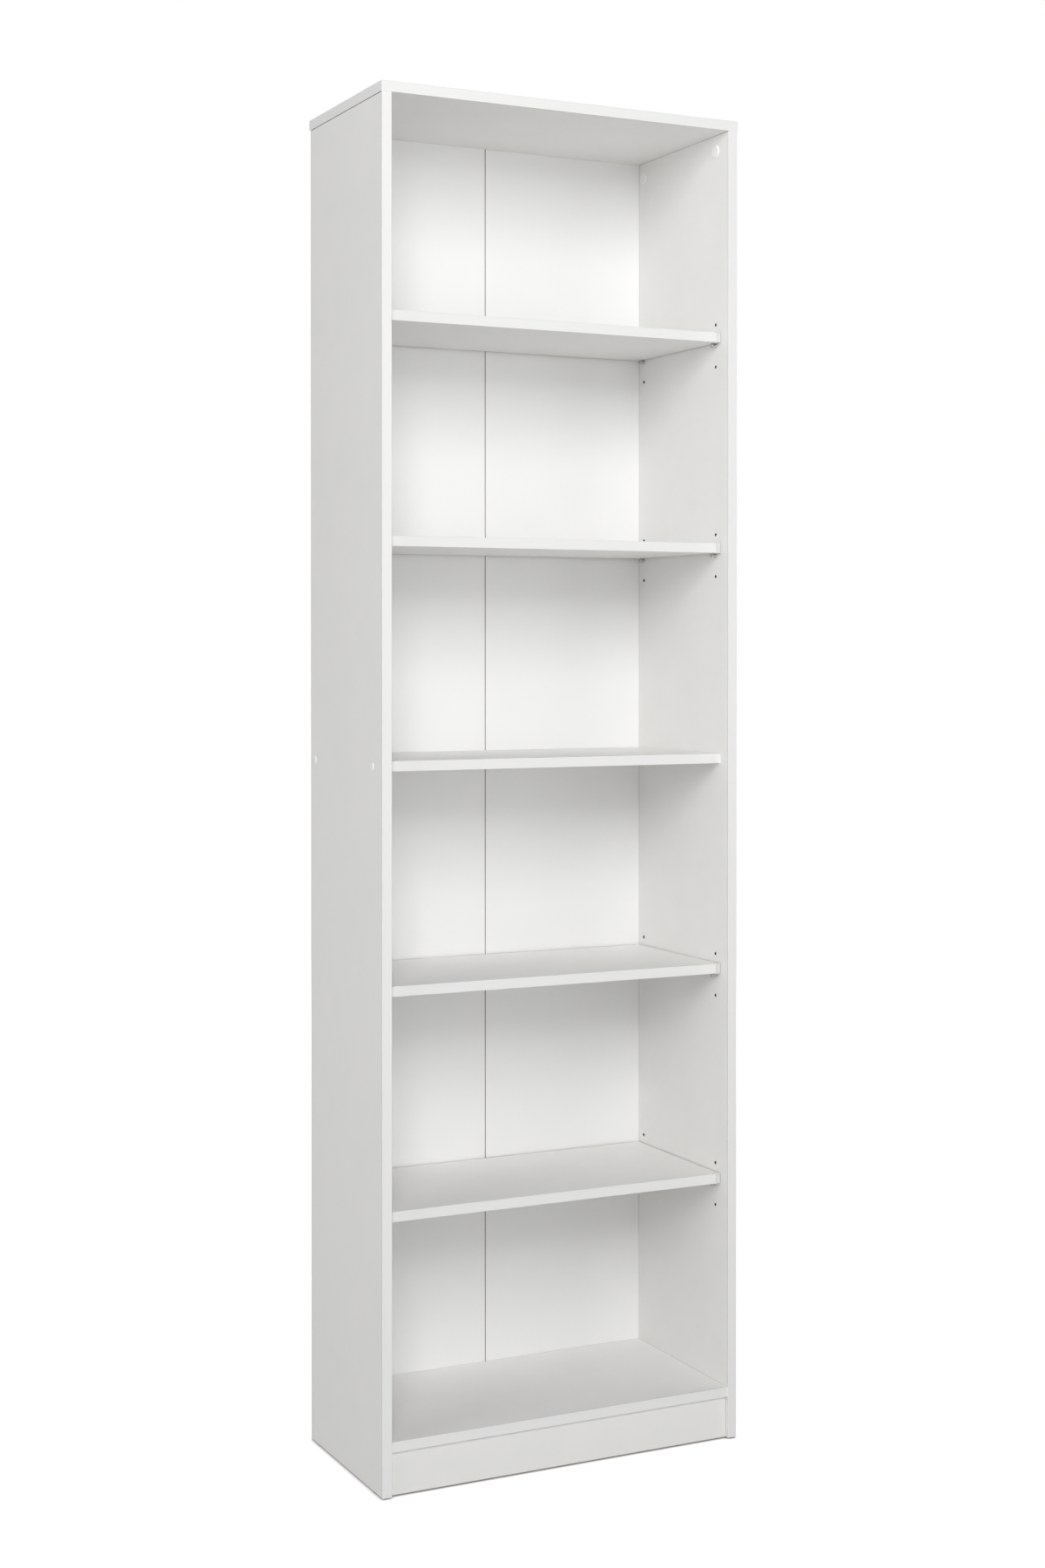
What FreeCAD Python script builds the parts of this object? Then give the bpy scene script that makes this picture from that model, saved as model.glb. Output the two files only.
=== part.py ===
"""Tall open bookcase with four adjustable shelves, as a parametric assembly.

All lengths are in millimetres.  X runs across the front from left to right, Y from front to back and
Z up.  The origin is on the floor, in the middle of the bookcase's outline.  Every place is an
expression on the cells of one spreadsheet, so a size changed there moves all that depends on it.
"""

import FreeCAD, Part
import os

import Sketcher

DRIVING_SIZES = {
    # the case as a whole
    "case_height": 1996,
    "case_width": 582,
    "case_depth": 277,
    "board": 15,
    "edge_band": 1,
    "edge_radius": 0.7,
    "top_overhang": 1,
    "top_chamfer": 0.8,
    "plinth_height": 62,
    "plinth_recess": 6,
    "bottom_recess": 1,
    "glide_height": 2,
    "glide_radius": 7,
    "glide_inset": 30,
    "glide_nail_radius": 1,
    "glide_nail_length": 9,
    "glide_nail_point": 2,
    "glide_chamfer": 0.8,
    # shelves
    "shelf_recess": 24,
    "shelf_rear_gap": 2,
    "shelf_end_gap": 1,
    # rows of holes
    "hole_pitch": 32,
    "column_front": 37,
    "column_rear_margin": 16,
    "pin_hole_radius": 2.5,
    # clearances shared by several fits
    "fit_clearance": 0.05,
    "seat_clearance": 0.05,
    "hole_end_gap": 0.5,
    "peg_clearance": 0.1,
    "peg_end_gap": 0.4,
    # shelf pins
    "pin_shank": 9,
    "pin_hole_end_gap": 1,
    "pin_head_radius": 3.5,
    "pin_collar": 1.4,
    "pin_waist_radius": 2.4,
    "pin_head": 2,
    "pin_reach": 8,
    "pin_chamfer": 0.6,
    # clips on the front corners of the adjustable shelves
    "clip_wall": 0.6,
    "clip_width": 7.5,
    "clip_lip": 7,
    "clip_bead_width": 1.5,
    "clip_bead_wall": 1.2,
    # cam joints
    "cam_radius": 7.4,
    "cam_clearance": 0.1,
    "cam_web": 1,
    "cam_sink": 0.5,
    "cam_setback": 24,
    "cam_mouth_gap": 1.5,
    "cam_recess_radius": 2.7,
    "cam_recess_depth": 2,
    "bolt_radius": 3.4,
    "bolt_clearance": 0.6,
    "bolt_chamfer": 1,
    "bolt_neck_radius": 2,
    "bolt_neck": 3,
    "bolt_tip": 5.5,
    "bolt_overrun": 2.5,
    "bolt_thread_radius": 2.45,
    "bolt_thread": 10,
    "cam_cap_radius": 9.5,
    "cam_cap_rim": 1.4,
    "cam_cap_height": 2,
    "cam_cap_face_radius": 8.9,
    # dowels
    "dowel_radius": 4,
    "dowel_in_face": 10,
    "dowel_in_end": 20,
    "dowel_offset": 32,
    "dowel_chamfer": 1,
    "plinth_dowel_margin": 18,
    # through screws of the fixed shelf
    "screw_radius": 3.4,
    "screw_length": 50,
    "screw_point": 2,
    "screw_point_radius": 1.9,
    "screw_head_radius": 5,
    "screw_head": 3,
    "screw_socket_radius": 2.2,
    "screw_socket_depth": 2.4,
    "screw_cap_radius": 5.8,
    "screw_cap_rim": 0.4,
    "screw_cap_height": 0.8,
    "screw_cap_face_radius": 5.2,
    # back panel
    "back_thickness": 3,
    "back_reveal": 1,
    "back_inset": 1,
    "back_top_gap": 0.5,
    "seam_gap": 1.5,
    "tape_width": 32,
    "tape_thickness": 0.3,
    "nail_radius": 0.7,
    "nail_hole_clearance": 0.05,
    "nail_length": 15,
    "nail_point": 1.4,
    "nail_head_radius": 2,
    "nail_head": 0.6,
    "nail_margin": 50,
    "nail_middle_inset": 90,
    "nail_end_inset": 72,
}

COMPARTMENTS = 6
FIXED_ROW = 3
NAILS_PER_SIDE = 10
SIDES = {"left": -1, "right": 1}

doc = FreeCAD.newDocument("bookcase")
sheet = doc.addObject("Spreadsheet::Sheet", "dims")
for row, (alias, size) in enumerate(DRIVING_SIZES.items(), start=1):
    sheet.set(f"A{row}", alias)
    sheet.set(f"B{row}", str(size))
    sheet.setAlias(f"B{row}", alias)
doc.recompute()


# ---------------------------------------------------------------- expressions for the main planes

SIDE_X = "(dims.case_width / 2)"
INNER_X = "(dims.case_width / 2 - dims.board)"
MIDDLE_X = "(dims.case_width / 2 - dims.board / 2)"
FRONT_Y = "((dims.top_overhang - dims.case_depth - dims.back_thickness - dims.back_reveal) / 2)"
REAR_Y = f"({FRONT_Y} + dims.case_depth)"
BACK_FACE_Y = f"({REAR_Y} + dims.back_thickness)"
COLUMN_STEPS = (
    "floor((dims.case_depth - dims.column_front - dims.column_rear_margin) / dims.hole_pitch)"
)
FRONT_COLUMN_Y = f"({FRONT_Y} + dims.column_front)"
REAR_COLUMN_Y = f"({FRONT_COLUMN_Y} + {COLUMN_STEPS} * dims.hole_pitch)"
COLUMNS = {"front": FRONT_COLUMN_Y, "rear": REAR_COLUMN_Y}
DOWEL_ROWS = {
    "front": f"({FRONT_COLUMN_Y} + dims.dowel_offset)",
    "rear": f"({REAR_COLUMN_Y} - dims.dowel_offset)",
}
BASE_Z = "dims.glide_height"
SIDE_TOP_Z = "(dims.case_height - dims.board)"
BOTTOM_UNDER_Z = "(dims.glide_height + dims.plinth_height)"
BOTTOM_TOP_Z = f"({BOTTOM_UNDER_Z} + dims.board)"
ROW_PITCH = (
    f"(round(({SIDE_TOP_Z} - {BOTTOM_TOP_Z}) / {COMPARTMENTS} / dims.hole_pitch) * dims.hole_pitch)"
)
SHELF_FRONT_Y = f"({FRONT_Y} + dims.shelf_recess - dims.shelf_rear_gap)"
FIXED_FRONT_Y = f"({FRONT_Y} + dims.shelf_recess)"
SHELF_DEPTH = "(dims.case_depth - dims.shelf_recess)"
SHELF_END_X = f"({INNER_X} - dims.shelf_end_gap)"
TOP_CAM_Z = f"({SIDE_TOP_Z} - dims.cam_setback)"
BOTTOM_CAM_X = f"({INNER_X} - dims.cam_setback)"
BOTTOM_MIDDLE_Z = f"({BOTTOM_UNDER_Z} + dims.board / 2)"


def row_top(row):
    """Height of the top face of the shelf in this row, counted up from the bottom shelf."""
    return f"({BOTTOM_TOP_Z} + {row} * {ROW_PITCH})"


def row_under(row):
    """Height of the underside of the shelf in this row."""
    return f"({row_top(row)} - dims.board)"


def pin_height(row):
    """Height of the axis of the pins that carry the shelf in this row."""
    return f"({row_under(row)} - dims.pin_head_radius - dims.seat_clearance)"


FIXED_MIDDLE_Z = f"({row_under(FIXED_ROW)} + dims.board / 2)"
# adjustable shelves are numbered from the top down; the fixed one keeps the middle row
ADJUSTABLE_ROWS = {1: 5, 2: 4, 3: 2, 4: 1}


# ---------------------------------------------------------------- building blocks

PLANES = {"X": "YZ_Plane", "Y": "XZ_Plane", "Z": "XY_Plane"}
NORMAL_SIGN = {"X": 1, "Y": -1, "Z": 1}
components = []
nodes = []


def value(expression):
    """The present number of an expression."""
    return float(sheet.evalExpression(expression))


def new_body(label):
    """An empty PartDesign body with its label."""
    body = doc.addObject("PartDesign::Body", label)
    body.Label = label
    components.append(body)
    return body


def origin_plane(body, role):
    """One of the body's own origin planes, found by its role."""
    return next(f for f in body.Origin.OriginFeatures if f.Role == role)


def new_sketch(body, axis, shift):
    """A sketch across an axis; shift holds its origin's place in the sketch's own three directions."""
    sketch = body.newObject("Sketcher::SketchObject", f"{body.Name}_sketch")
    sketch.AttachmentSupport = [(origin_plane(body, PLANES[axis]), "")]
    sketch.MapMode = "FlatFace"
    for direction, expression in zip("xyz", shift):
        sketch.setExpression(f".AttachmentOffset.Base.{direction}", expression)
    return sketch


def bind_point(sketch, geometry, vertex, across, up):
    """Tie a sketch point to two expressions."""
    for kind, expression in (("DistanceX", across), ("DistanceY", up)):
        index = sketch.addConstraint(Sketcher.Constraint(kind, geometry, vertex, value(expression)))
        sketch.setExpression(f"Constraints[{index}]", expression)


def add_outline(sketch, points):
    """A closed outline of straight lines through points given as pairs of expressions."""
    corners = [FreeCAD.Vector(value(across), value(up), 0) for across, up in points]
    count = len(corners)
    for index in range(count):
        sketch.addGeometry(Part.LineSegment(corners[index], corners[(index + 1) % count]), False)
    for index in range(count):
        following = (index + 1) % count
        sketch.addConstraint(Sketcher.Constraint("Coincident", index, 2, following, 1))
        bind_point(sketch, index, 1, *points[index])


def add_circles(sketch, circles):
    """Circles given as across, up and radius expressions."""
    for index, (across, up, radius) in enumerate(circles):
        centre = FreeCAD.Vector(value(across), value(up), 0)
        circle = Part.Circle(centre, FreeCAD.Vector(0, 0, 1), value(radius))
        sketch.addGeometry(circle, False)
        bind_point(sketch, index, 3, across, up)
        constraint = sketch.addConstraint(Sketcher.Constraint("Radius", index, value(radius)))
        sketch.setExpression(f"Constraints[{constraint}]", radius)


def along(axis, position):
    """Offset of a sketch plane that puts it at a position on its axis."""
    sign = NORMAL_SIGN[axis]
    return ("0", "0", position if sign > 0 else f"-1 * ({position})")


def add_pad(body, axis, start, length, points):
    """Pad an outline from start by length, in the positive direction of the axis."""
    sketch = new_sketch(body, axis, along(axis, start))
    add_outline(sketch, points)
    pad = body.newObject("PartDesign::Pad", f"{body.Name}_pad")
    pad.Profile = sketch
    pad.Reversed = NORMAL_SIGN[axis] < 0
    pad.setExpression("Length", length)
    body.Tip = pad
    return pad


def prism(label, axis, start, length, points):
    """A body padded from one outline."""
    body = new_body(label)
    add_pad(body, axis, start, length, points)
    return body


def block(label, low, high):
    """A rectangular body between two corners given as expressions."""
    (x0, y0, z0), (x1, y1, z1) = low, high
    outline = [(x0, y0), (x1, y0), (x1, y1), (x0, y1)]
    return prism(label, "Z", z0, f"{z1} - ({z0})", outline)


def drill(body, axis, start, direction, depth, circles):
    """Round holes from the plane at start, along the axis in the given direction."""
    sketch = new_sketch(body, axis, along(axis, start))
    add_circles(sketch, circles)
    pocket = body.newObject("PartDesign::Pocket", f"{body.Name}_holes")
    pocket.Profile = sketch
    pocket.Reversed = direction == NORMAL_SIGN[axis]
    pocket.setExpression("Length", depth)
    body.Tip = pocket
    return pocket


def turned(label, axis, centre, direction, outline):
    """A turned body: outline holds (radius, height) pairs, with height along the axis."""
    body = new_body(label)
    x, y, z = centre
    shift = {"X": (x, y, z), "Y": (x, y, z), "Z": (x, z, f"-1 * ({y})")}[axis]
    sketch = new_sketch(body, "Y" if axis == "Z" else "Z", shift)
    heights = [f"{direction} * ({height})" for _, height in outline]
    radii = [radius for radius, _ in outline]
    points = list(zip(heights, radii)) if axis == "X" else list(zip(radii, heights))
    add_outline(sketch, points)
    revolution = body.newObject("PartDesign::Revolution", f"{body.Name}_turning")
    revolution.Profile = sketch
    revolution.ReferenceAxis = (sketch, ["H_Axis" if axis == "X" else "V_Axis"])
    revolution.Angle = 360
    body.Tip = revolution
    return body


def round_front_edges(body, radius, across):
    """Round the two long front edges of a strip; across is the axis that they run along."""
    doc.recompute()
    tip = body.Tip
    box = tip.Shape.BoundBox
    middle_y = (box.YMin + box.YMax) / 2
    half_length = max(box.XLength, box.ZLength) / 2
    names = []
    for index, edge in enumerate(tip.Shape.Edges, start=1):
        run = {"X": edge.BoundBox.XLength, "Z": edge.BoundBox.ZLength}[across]
        if edge.BoundBox.YMax < middle_y and run > half_length:
            names.append(f"Edge{index}")
    fillet = body.newObject("PartDesign::Fillet", f"{body.Name}_rounding")
    fillet.Base = (tip, names)
    fillet.setExpression("Radius", radius)
    body.Tip = fillet


def group(label, members):
    """Identical loose pieces kept together as separate solids of one node."""
    compound = doc.addObject("Part::Compound", label)
    compound.Label = label
    compound.Links = members
    nodes.append(compound)
    return compound


def keep(body):
    """Hand a body in as a node of its own."""
    nodes.append(body)
    return body


# ---------------------------------------------------------------- places shared by pieces and holes

def side_nail_heights():
    """Heights of the nails down each side, evenly spaced between the two margins."""
    span = f"({SIDE_TOP_Z} - {BASE_Z} - 2 * dims.nail_margin)"
    return [
        f"({BASE_Z} + dims.nail_margin + {index} * {span} / {NAILS_PER_SIDE - 1})"
        for index in range(NAILS_PER_SIDE)
    ]


def cross_nail_places():
    """Distances from the middle of the nails along a shelf, for one half of the back."""
    return ["dims.nail_middle_inset", f"({INNER_X} - dims.nail_end_inset)"]


def plinth_dowel_heights():
    """Heights of the two dowels in each end of the plinth."""
    return [
        f"({BASE_Z} + dims.plinth_dowel_margin)",
        f"({BOTTOM_UNDER_Z} - dims.plinth_dowel_margin)",
    ]


def glide_places():
    """The two places of the glides under each side, from front to back."""
    return [f"({FRONT_Y} + dims.glide_inset)", f"({REAR_Y} - dims.glide_inset)"]


PLINTH_FRONT_Y = f"({FRONT_Y} + dims.plinth_recess)"
PLINTH_MIDDLE_Y = f"({PLINTH_FRONT_Y} + dims.board / 2)"
NAIL_HOLE_RADIUS = "(dims.nail_radius + dims.nail_hole_clearance)"
NAIL_REACH = "(dims.nail_length - dims.back_thickness + dims.hole_end_gap)"
PIN_HOLE_DEPTH = "(dims.pin_shank + dims.pin_hole_end_gap)"
FACE_DOWEL_DEPTH = "(dims.dowel_in_face + dims.hole_end_gap)"
END_DOWEL_DEPTH = "(dims.dowel_in_end + dims.hole_end_gap)"
DOWEL_BODY_RADIUS = "(dims.dowel_radius - dims.fit_clearance)"
BOLT_HOLE_RADIUS = "(dims.bolt_radius + dims.bolt_clearance)"
BOLT_THREAD_HOLE = "(dims.bolt_thread_radius + dims.fit_clearance)"
BOLT_THREAD_DEPTH = "(dims.bolt_thread + dims.hole_end_gap)"
CAM_POCKET_RADIUS = "(dims.cam_radius + dims.cam_clearance)"
CAM_POCKET_DEPTH = f"(dims.board / 2 + {BOLT_HOLE_RADIUS} + dims.cam_web)"
CAM_HEIGHT = f"({CAM_POCKET_DEPTH} - dims.cam_sink)"
CAM_MOUTH_DEPTH = "(dims.bolt_overrun + dims.cam_mouth_gap)"
SCREW_HOLE_RADIUS = "(dims.screw_radius + dims.fit_clearance)"


# ---------------------------------------------------------------- boards

def side_panel(label, side):
    """Drilled side panel; side is -1 on the left and 1 on the right."""
    inner, outer = f"{side} * {INNER_X}", f"{side} * {SIDE_X}"
    cut = f"{side} * ({SIDE_X} - dims.top_chamfer)"
    outline = [
        (inner, BASE_Z),
        (outer, BASE_Z),
        (outer, f"{SIDE_TOP_Z} - dims.top_chamfer"),
        (cut, SIDE_TOP_Z),
        (inner, SIDE_TOP_Z),
    ]
    body = prism(
        label, "Y", f"{FRONT_Y} + dims.edge_band", "dims.case_depth - dims.edge_band", outline
    )
    pin_holes = [
        (column, f"{pin_height(row)} + {step} * dims.hole_pitch", "dims.pin_hole_radius")
        for row in ADJUSTABLE_ROWS.values()
        for step in (-1, 0, 1)
        for column in COLUMNS.values()
    ]
    drill(body, "X", inner, side, PIN_HOLE_DEPTH, pin_holes)
    cams = [(column, TOP_CAM_Z, CAM_POCKET_RADIUS) for column in COLUMNS.values()]
    drill(body, "X", inner, side, CAM_POCKET_DEPTH, cams)
    bolts = [(column, BOTTOM_MIDDLE_Z, BOLT_THREAD_HOLE) for column in COLUMNS.values()]
    drill(body, "X", inner, side, BOLT_THREAD_DEPTH, bolts)
    dowels = [(place, BOTTOM_MIDDLE_Z, "dims.dowel_radius") for place in DOWEL_ROWS.values()]
    dowels += [(PLINTH_MIDDLE_Y, height, "dims.dowel_radius") for height in plinth_dowel_heights()]
    drill(body, "X", inner, side, FACE_DOWEL_DEPTH, dowels)
    screws = [(column, FIXED_MIDDLE_Z, SCREW_HOLE_RADIUS) for column in COLUMNS.values()]
    drill(body, "X", inner, side, "dims.board", screws)
    heads = [
        (column, FIXED_MIDDLE_Z, "dims.screw_head_radius + dims.fit_clearance")
        for column in COLUMNS.values()
    ]
    drill(body, "X", outer, -side, "dims.screw_head", heads)
    middle = f"{side} * {MIDDLE_X}"
    top_bolts = [(middle, column, BOLT_HOLE_RADIUS) for column in COLUMNS.values()]
    drill(body, "Z", SIDE_TOP_Z, -1, "dims.cam_setback", top_bolts)
    top_dowels = [(middle, place, "dims.dowel_radius") for place in DOWEL_ROWS.values()]
    drill(body, "Z", SIDE_TOP_Z, -1, END_DOWEL_DEPTH, top_dowels)
    nail_radius = "dims.glide_nail_radius + dims.fit_clearance"
    glides = [(middle, place, nail_radius) for place in glide_places()]
    drill(body, "Z", BASE_Z, 1, "dims.glide_nail_length + dims.hole_end_gap", glides)
    nails = [(middle, height, NAIL_HOLE_RADIUS) for height in side_nail_heights()]
    drill(body, "Y", REAR_Y, -1, NAIL_REACH, nails)
    return keep(body)


def side_band(label, side):
    """Edge band down the front of a side panel."""
    low_x, high_x = sorted((f"{side} * {SIDE_X}", f"{side} * {INNER_X}"), key=value)
    body = block(
        label,
        (low_x, FRONT_Y, BASE_Z),
        (high_x, f"{FRONT_Y} + dims.edge_band", SIDE_TOP_Z),
    )
    round_front_edges(body, "dims.edge_radius", "Z")
    return keep(body)


TOP_EDGE_X = f"({SIDE_X} + dims.top_overhang)"
TOP_FRONT_Y = f"({FRONT_Y} - dims.top_overhang)"
TOP_REAR_Y = f"({BACK_FACE_Y} + dims.back_reveal)"


def top_panel():
    """Top panel, which laps over the sides and the back."""
    body = block(
        "top_panel",
        (f"-1 * ({TOP_EDGE_X} - dims.edge_band)", f"{TOP_FRONT_Y} + dims.edge_band", SIDE_TOP_Z),
        (f"{TOP_EDGE_X} - dims.edge_band", TOP_REAR_Y, "dims.case_height"),
    )
    bolts, dowels = [], []
    for side in SIDES.values():
        middle = f"{side} * {MIDDLE_X}"
        bolts += [(middle, column, BOLT_THREAD_HOLE) for column in COLUMNS.values()]
        dowels += [(middle, place, "dims.dowel_radius") for place in DOWEL_ROWS.values()]
    drill(body, "Z", SIDE_TOP_Z, 1, BOLT_THREAD_DEPTH, bolts)
    drill(body, "Z", SIDE_TOP_Z, 1, FACE_DOWEL_DEPTH, dowels)
    return keep(body)


def top_bands():
    """Edge bands on the front and the two ends of the top panel."""
    members = []
    front = block(
        "top_front_band",
        (f"-1 * {TOP_EDGE_X}", TOP_FRONT_Y, SIDE_TOP_Z),
        (TOP_EDGE_X, f"{TOP_FRONT_Y} + dims.edge_band", "dims.case_height"),
    )
    round_front_edges(front, "dims.edge_radius", "X")
    members.append(front)
    for name, side in SIDES.items():
        ends = (f"{side} * {TOP_EDGE_X}", f"{side} * ({TOP_EDGE_X} - dims.edge_band)")
        low_x, high_x = sorted(ends, key=value)
        members.append(block(
            f"top_{name}_band",
            (low_x, f"{TOP_FRONT_Y} + dims.edge_band", SIDE_TOP_Z),
            (high_x, TOP_REAR_Y, "dims.case_height"),
        ))
    return group("top_edge_bands", members)


def shelf_band(label, end_x, front_y, under_z):
    """Edge band along the front of a shelf."""
    body = block(
        label,
        (f"-1 * {end_x}", front_y, under_z),
        (end_x, f"{front_y} + dims.edge_band", f"{under_z} + dims.board"),
    )
    round_front_edges(body, "dims.edge_radius", "X")
    return keep(body)


BOTTOM_FRONT_Y = f"({FRONT_Y} + dims.bottom_recess)"


def drill_rear_nails(body, middle_z):
    """Pilot holes for the back's nails in the rear edge of a fixed shelf."""
    nails = [
        (f"{side} * {place}", middle_z, NAIL_HOLE_RADIUS)
        for side in SIDES.values()
        for place in cross_nail_places()
    ]
    drill(body, "Y", REAR_Y, -1, NAIL_REACH, nails)


def bottom_shelf():
    """Bottom shelf, held by cams in its underside and by dowels."""
    body = block(
        "bottom_shelf",
        (f"-1 * {INNER_X}", f"{BOTTOM_FRONT_Y} + dims.edge_band", BOTTOM_UNDER_Z),
        (INNER_X, REAR_Y, BOTTOM_TOP_Z),
    )
    cams = [
        (f"{side} * {BOTTOM_CAM_X}", column, CAM_POCKET_RADIUS)
        for side in SIDES.values()
        for column in COLUMNS.values()
    ]
    drill(body, "Z", BOTTOM_UNDER_Z, 1, CAM_POCKET_DEPTH, cams)
    for side in SIDES.values():
        bolts = [(column, BOTTOM_MIDDLE_Z, BOLT_HOLE_RADIUS) for column in COLUMNS.values()]
        drill(body, "X", f"{side} * {INNER_X}", -side, "dims.cam_setback", bolts)
        dowels = [(place, BOTTOM_MIDDLE_Z, "dims.dowel_radius") for place in DOWEL_ROWS.values()]
        drill(body, "X", f"{side} * {INNER_X}", -side, END_DOWEL_DEPTH, dowels)
    drill_rear_nails(body, BOTTOM_MIDDLE_Z)
    return keep(body)


def fixed_shelf():
    """Middle shelf, screwed through both sides."""
    under = row_under(FIXED_ROW)
    body = block(
        "fixed_middle_shelf",
        (f"-1 * {INNER_X}", f"{FIXED_FRONT_Y} + dims.edge_band", under),
        (INNER_X, REAR_Y, row_top(FIXED_ROW)),
    )
    depth = "dims.screw_length - dims.board + dims.hole_end_gap"
    for side in SIDES.values():
        screws = [(column, FIXED_MIDDLE_Z, SCREW_HOLE_RADIUS) for column in COLUMNS.values()]
        drill(body, "X", f"{side} * {INNER_X}", -side, depth, screws)
    drill_rear_nails(body, FIXED_MIDDLE_Z)
    return keep(body)


def plinth():
    """Plinth board between the sides, under the bottom shelf."""
    body = block(
        "plinth_board",
        (f"-1 * {INNER_X}", PLINTH_FRONT_Y, BASE_Z),
        (INNER_X, f"{PLINTH_FRONT_Y} + dims.board", BOTTOM_UNDER_Z),
    )
    for side in SIDES.values():
        dowels = [
            (PLINTH_MIDDLE_Y, height, "dims.dowel_radius") for height in plinth_dowel_heights()
        ]
        drill(body, "X", f"{side} * {INNER_X}", -side, END_DOWEL_DEPTH, dowels)
    return keep(body)


def adjustable_shelf(number, row):
    """Loose shelf board, one size smaller than the opening all round."""
    return keep(block(
        f"adjustable_shelf_{number}",
        (f"-1 * {SHELF_END_X}", f"{SHELF_FRONT_Y} + dims.edge_band", row_under(row)),
        (SHELF_END_X, f"{SHELF_FRONT_Y} + {SHELF_DEPTH}", row_top(row)),
    ))


# ---------------------------------------------------------------- back

def back_half(label, side):
    """One half of the folding hardboard back."""
    edges = (f"{side} * dims.seam_gap / 2", f"{side} * ({SIDE_X} - dims.back_inset)")
    low_x, high_x = sorted(edges, key=value)
    body = block(
        label,
        (low_x, REAR_Y, BASE_Z),
        (high_x, BACK_FACE_Y, f"{SIDE_TOP_Z} - dims.back_top_gap"),
    )
    nails = [(f"{side} * {MIDDLE_X}", height, NAIL_HOLE_RADIUS) for height in side_nail_heights()]
    nails += [
        (f"{side} * {place}", height, NAIL_HOLE_RADIUS)
        for height in (BOTTOM_MIDDLE_Z, FIXED_MIDDLE_Z)
        for place in cross_nail_places()
    ]
    drill(body, "Y", BACK_FACE_Y, -1, "dims.back_thickness", nails)
    return keep(body)


def back_tape():
    """Hinge tape over the fold, on the rear of the back."""
    return keep(block(
        "back_hinge_tape",
        ("dims.tape_width / -2", BACK_FACE_Y, BASE_Z),
        (
            "dims.tape_width / 2",
            f"{BACK_FACE_Y} + dims.tape_thickness",
            f"{SIDE_TOP_Z} - dims.back_top_gap",
        ),
    ))


def back_nails():
    """Nails that hold the back on the sides and the two fixed shelves."""
    places = []
    for side in SIDES.values():
        places += [(f"{side} * {MIDDLE_X}", height) for height in side_nail_heights()]
        places += [
            (f"{side} * {place}", height)
            for height in (BOTTOM_MIDDLE_Z, FIXED_MIDDLE_Z)
            for place in cross_nail_places()
        ]
    outline = [
        ("0", "-1 * dims.nail_length"),
        ("dims.nail_radius", "dims.nail_point - dims.nail_length"),
        ("dims.nail_radius", "0"),
        ("dims.nail_head_radius", "0"),
        ("dims.nail_head_radius", "dims.nail_head"),
        ("0", "dims.nail_head"),
    ]
    return group("back_panel_nails", [
        turned(f"back_nail_{index}", "Y", (x, BACK_FACE_Y, z), 1, outline)
        for index, (x, z) in enumerate(places, start=1)
    ])


# ---------------------------------------------------------------- fittings

def shelf_pin(label, side, column, row):
    """Metal shelf pin: shank, collar at the panel, waist and chamfered head."""
    shoulder = "dims.pin_reach - dims.pin_head"
    outline = [
        ("0", "-1 * dims.pin_shank"),
        ("dims.pin_hole_radius - dims.fit_clearance", "-1 * dims.pin_shank"),
        ("dims.pin_hole_radius - dims.fit_clearance", "0"),
        ("dims.pin_head_radius", "0"),
        ("dims.pin_head_radius", "dims.pin_collar"),
        ("dims.pin_waist_radius", "dims.pin_collar + dims.pin_chamfer"),
        ("dims.pin_waist_radius", f"{shoulder} - dims.pin_chamfer"),
        ("dims.pin_head_radius", shoulder),
        ("dims.pin_head_radius", "dims.pin_reach - dims.pin_chamfer"),
        ("dims.pin_head_radius - dims.pin_chamfer", "dims.pin_reach"),
        ("0", "dims.pin_reach"),
    ]
    centre = (f"{side} * {INNER_X}", column, pin_height(row))
    return keep(turned(label, "X", centre, -side, outline))


def clip_outline(front_y, under_z, top_z, wall):
    """Side view of a clip: a U open to the rear around the shelf's front edge."""
    lip_end = f"{front_y} + dims.clip_lip"
    return [
        (f"{front_y} - {wall}", f"{under_z} - {wall}"),
        (lip_end, f"{under_z} - {wall}"),
        (lip_end, under_z),
        (front_y, under_z),
        (front_y, top_z),
        (lip_end, top_z),
        (lip_end, f"{top_z} + {wall}"),
        (f"{front_y} - {wall}", f"{top_z} + {wall}"),
    ]


def shelf_clip(label, side, row):
    """Clear clip round one front corner of an adjustable shelf, with a bead along its inner edge."""
    inner = f"({SHELF_END_X} - dims.clip_width)"
    bead_edge = f"({inner} + dims.clip_bead_width)"
    low_x = min((f"{side} * {SHELF_END_X}", f"{side} * {inner}"), key=value)
    low_bead = min((f"{side} * {bead_edge}", f"{side} * {inner}"), key=value)
    thin = clip_outline(SHELF_FRONT_Y, row_under(row), row_top(row), "dims.clip_wall")
    thick = clip_outline(SHELF_FRONT_Y, row_under(row), row_top(row), "dims.clip_bead_wall")
    body = prism(label, "X", low_x, "dims.clip_width", thin)
    add_pad(body, "X", low_bead, "dims.clip_bead_width", thick)
    return body


def cam_lock(label, axis, centre, direction, mouth_axis, mouth_start, mouth_direction, mouth_at):
    """Cam lock: a disc with a mouth for the bolt and a recess for the driver."""
    outline = [
        ("0", "0"),
        ("dims.cam_radius", "0"),
        ("dims.cam_radius", CAM_HEIGHT),
        ("0", CAM_HEIGHT),
    ]
    body = turned(label, axis, centre, direction, outline)
    x, y, z = centre
    across = {"X": (y, z), "Z": (x, y)}[axis]
    face = {"X": x, "Z": z}[axis]
    recess = [(*across, "dims.cam_recess_radius")]
    drill(body, axis, face, direction, "dims.cam_recess_depth", recess)
    mouth = [(*mouth_at, BOLT_HOLE_RADIUS)]
    mouth_length = f"{CAM_MOUTH_DEPTH} + dims.cam_radius"
    drill(body, mouth_axis, mouth_start, mouth_direction, mouth_length, mouth)
    return body


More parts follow.
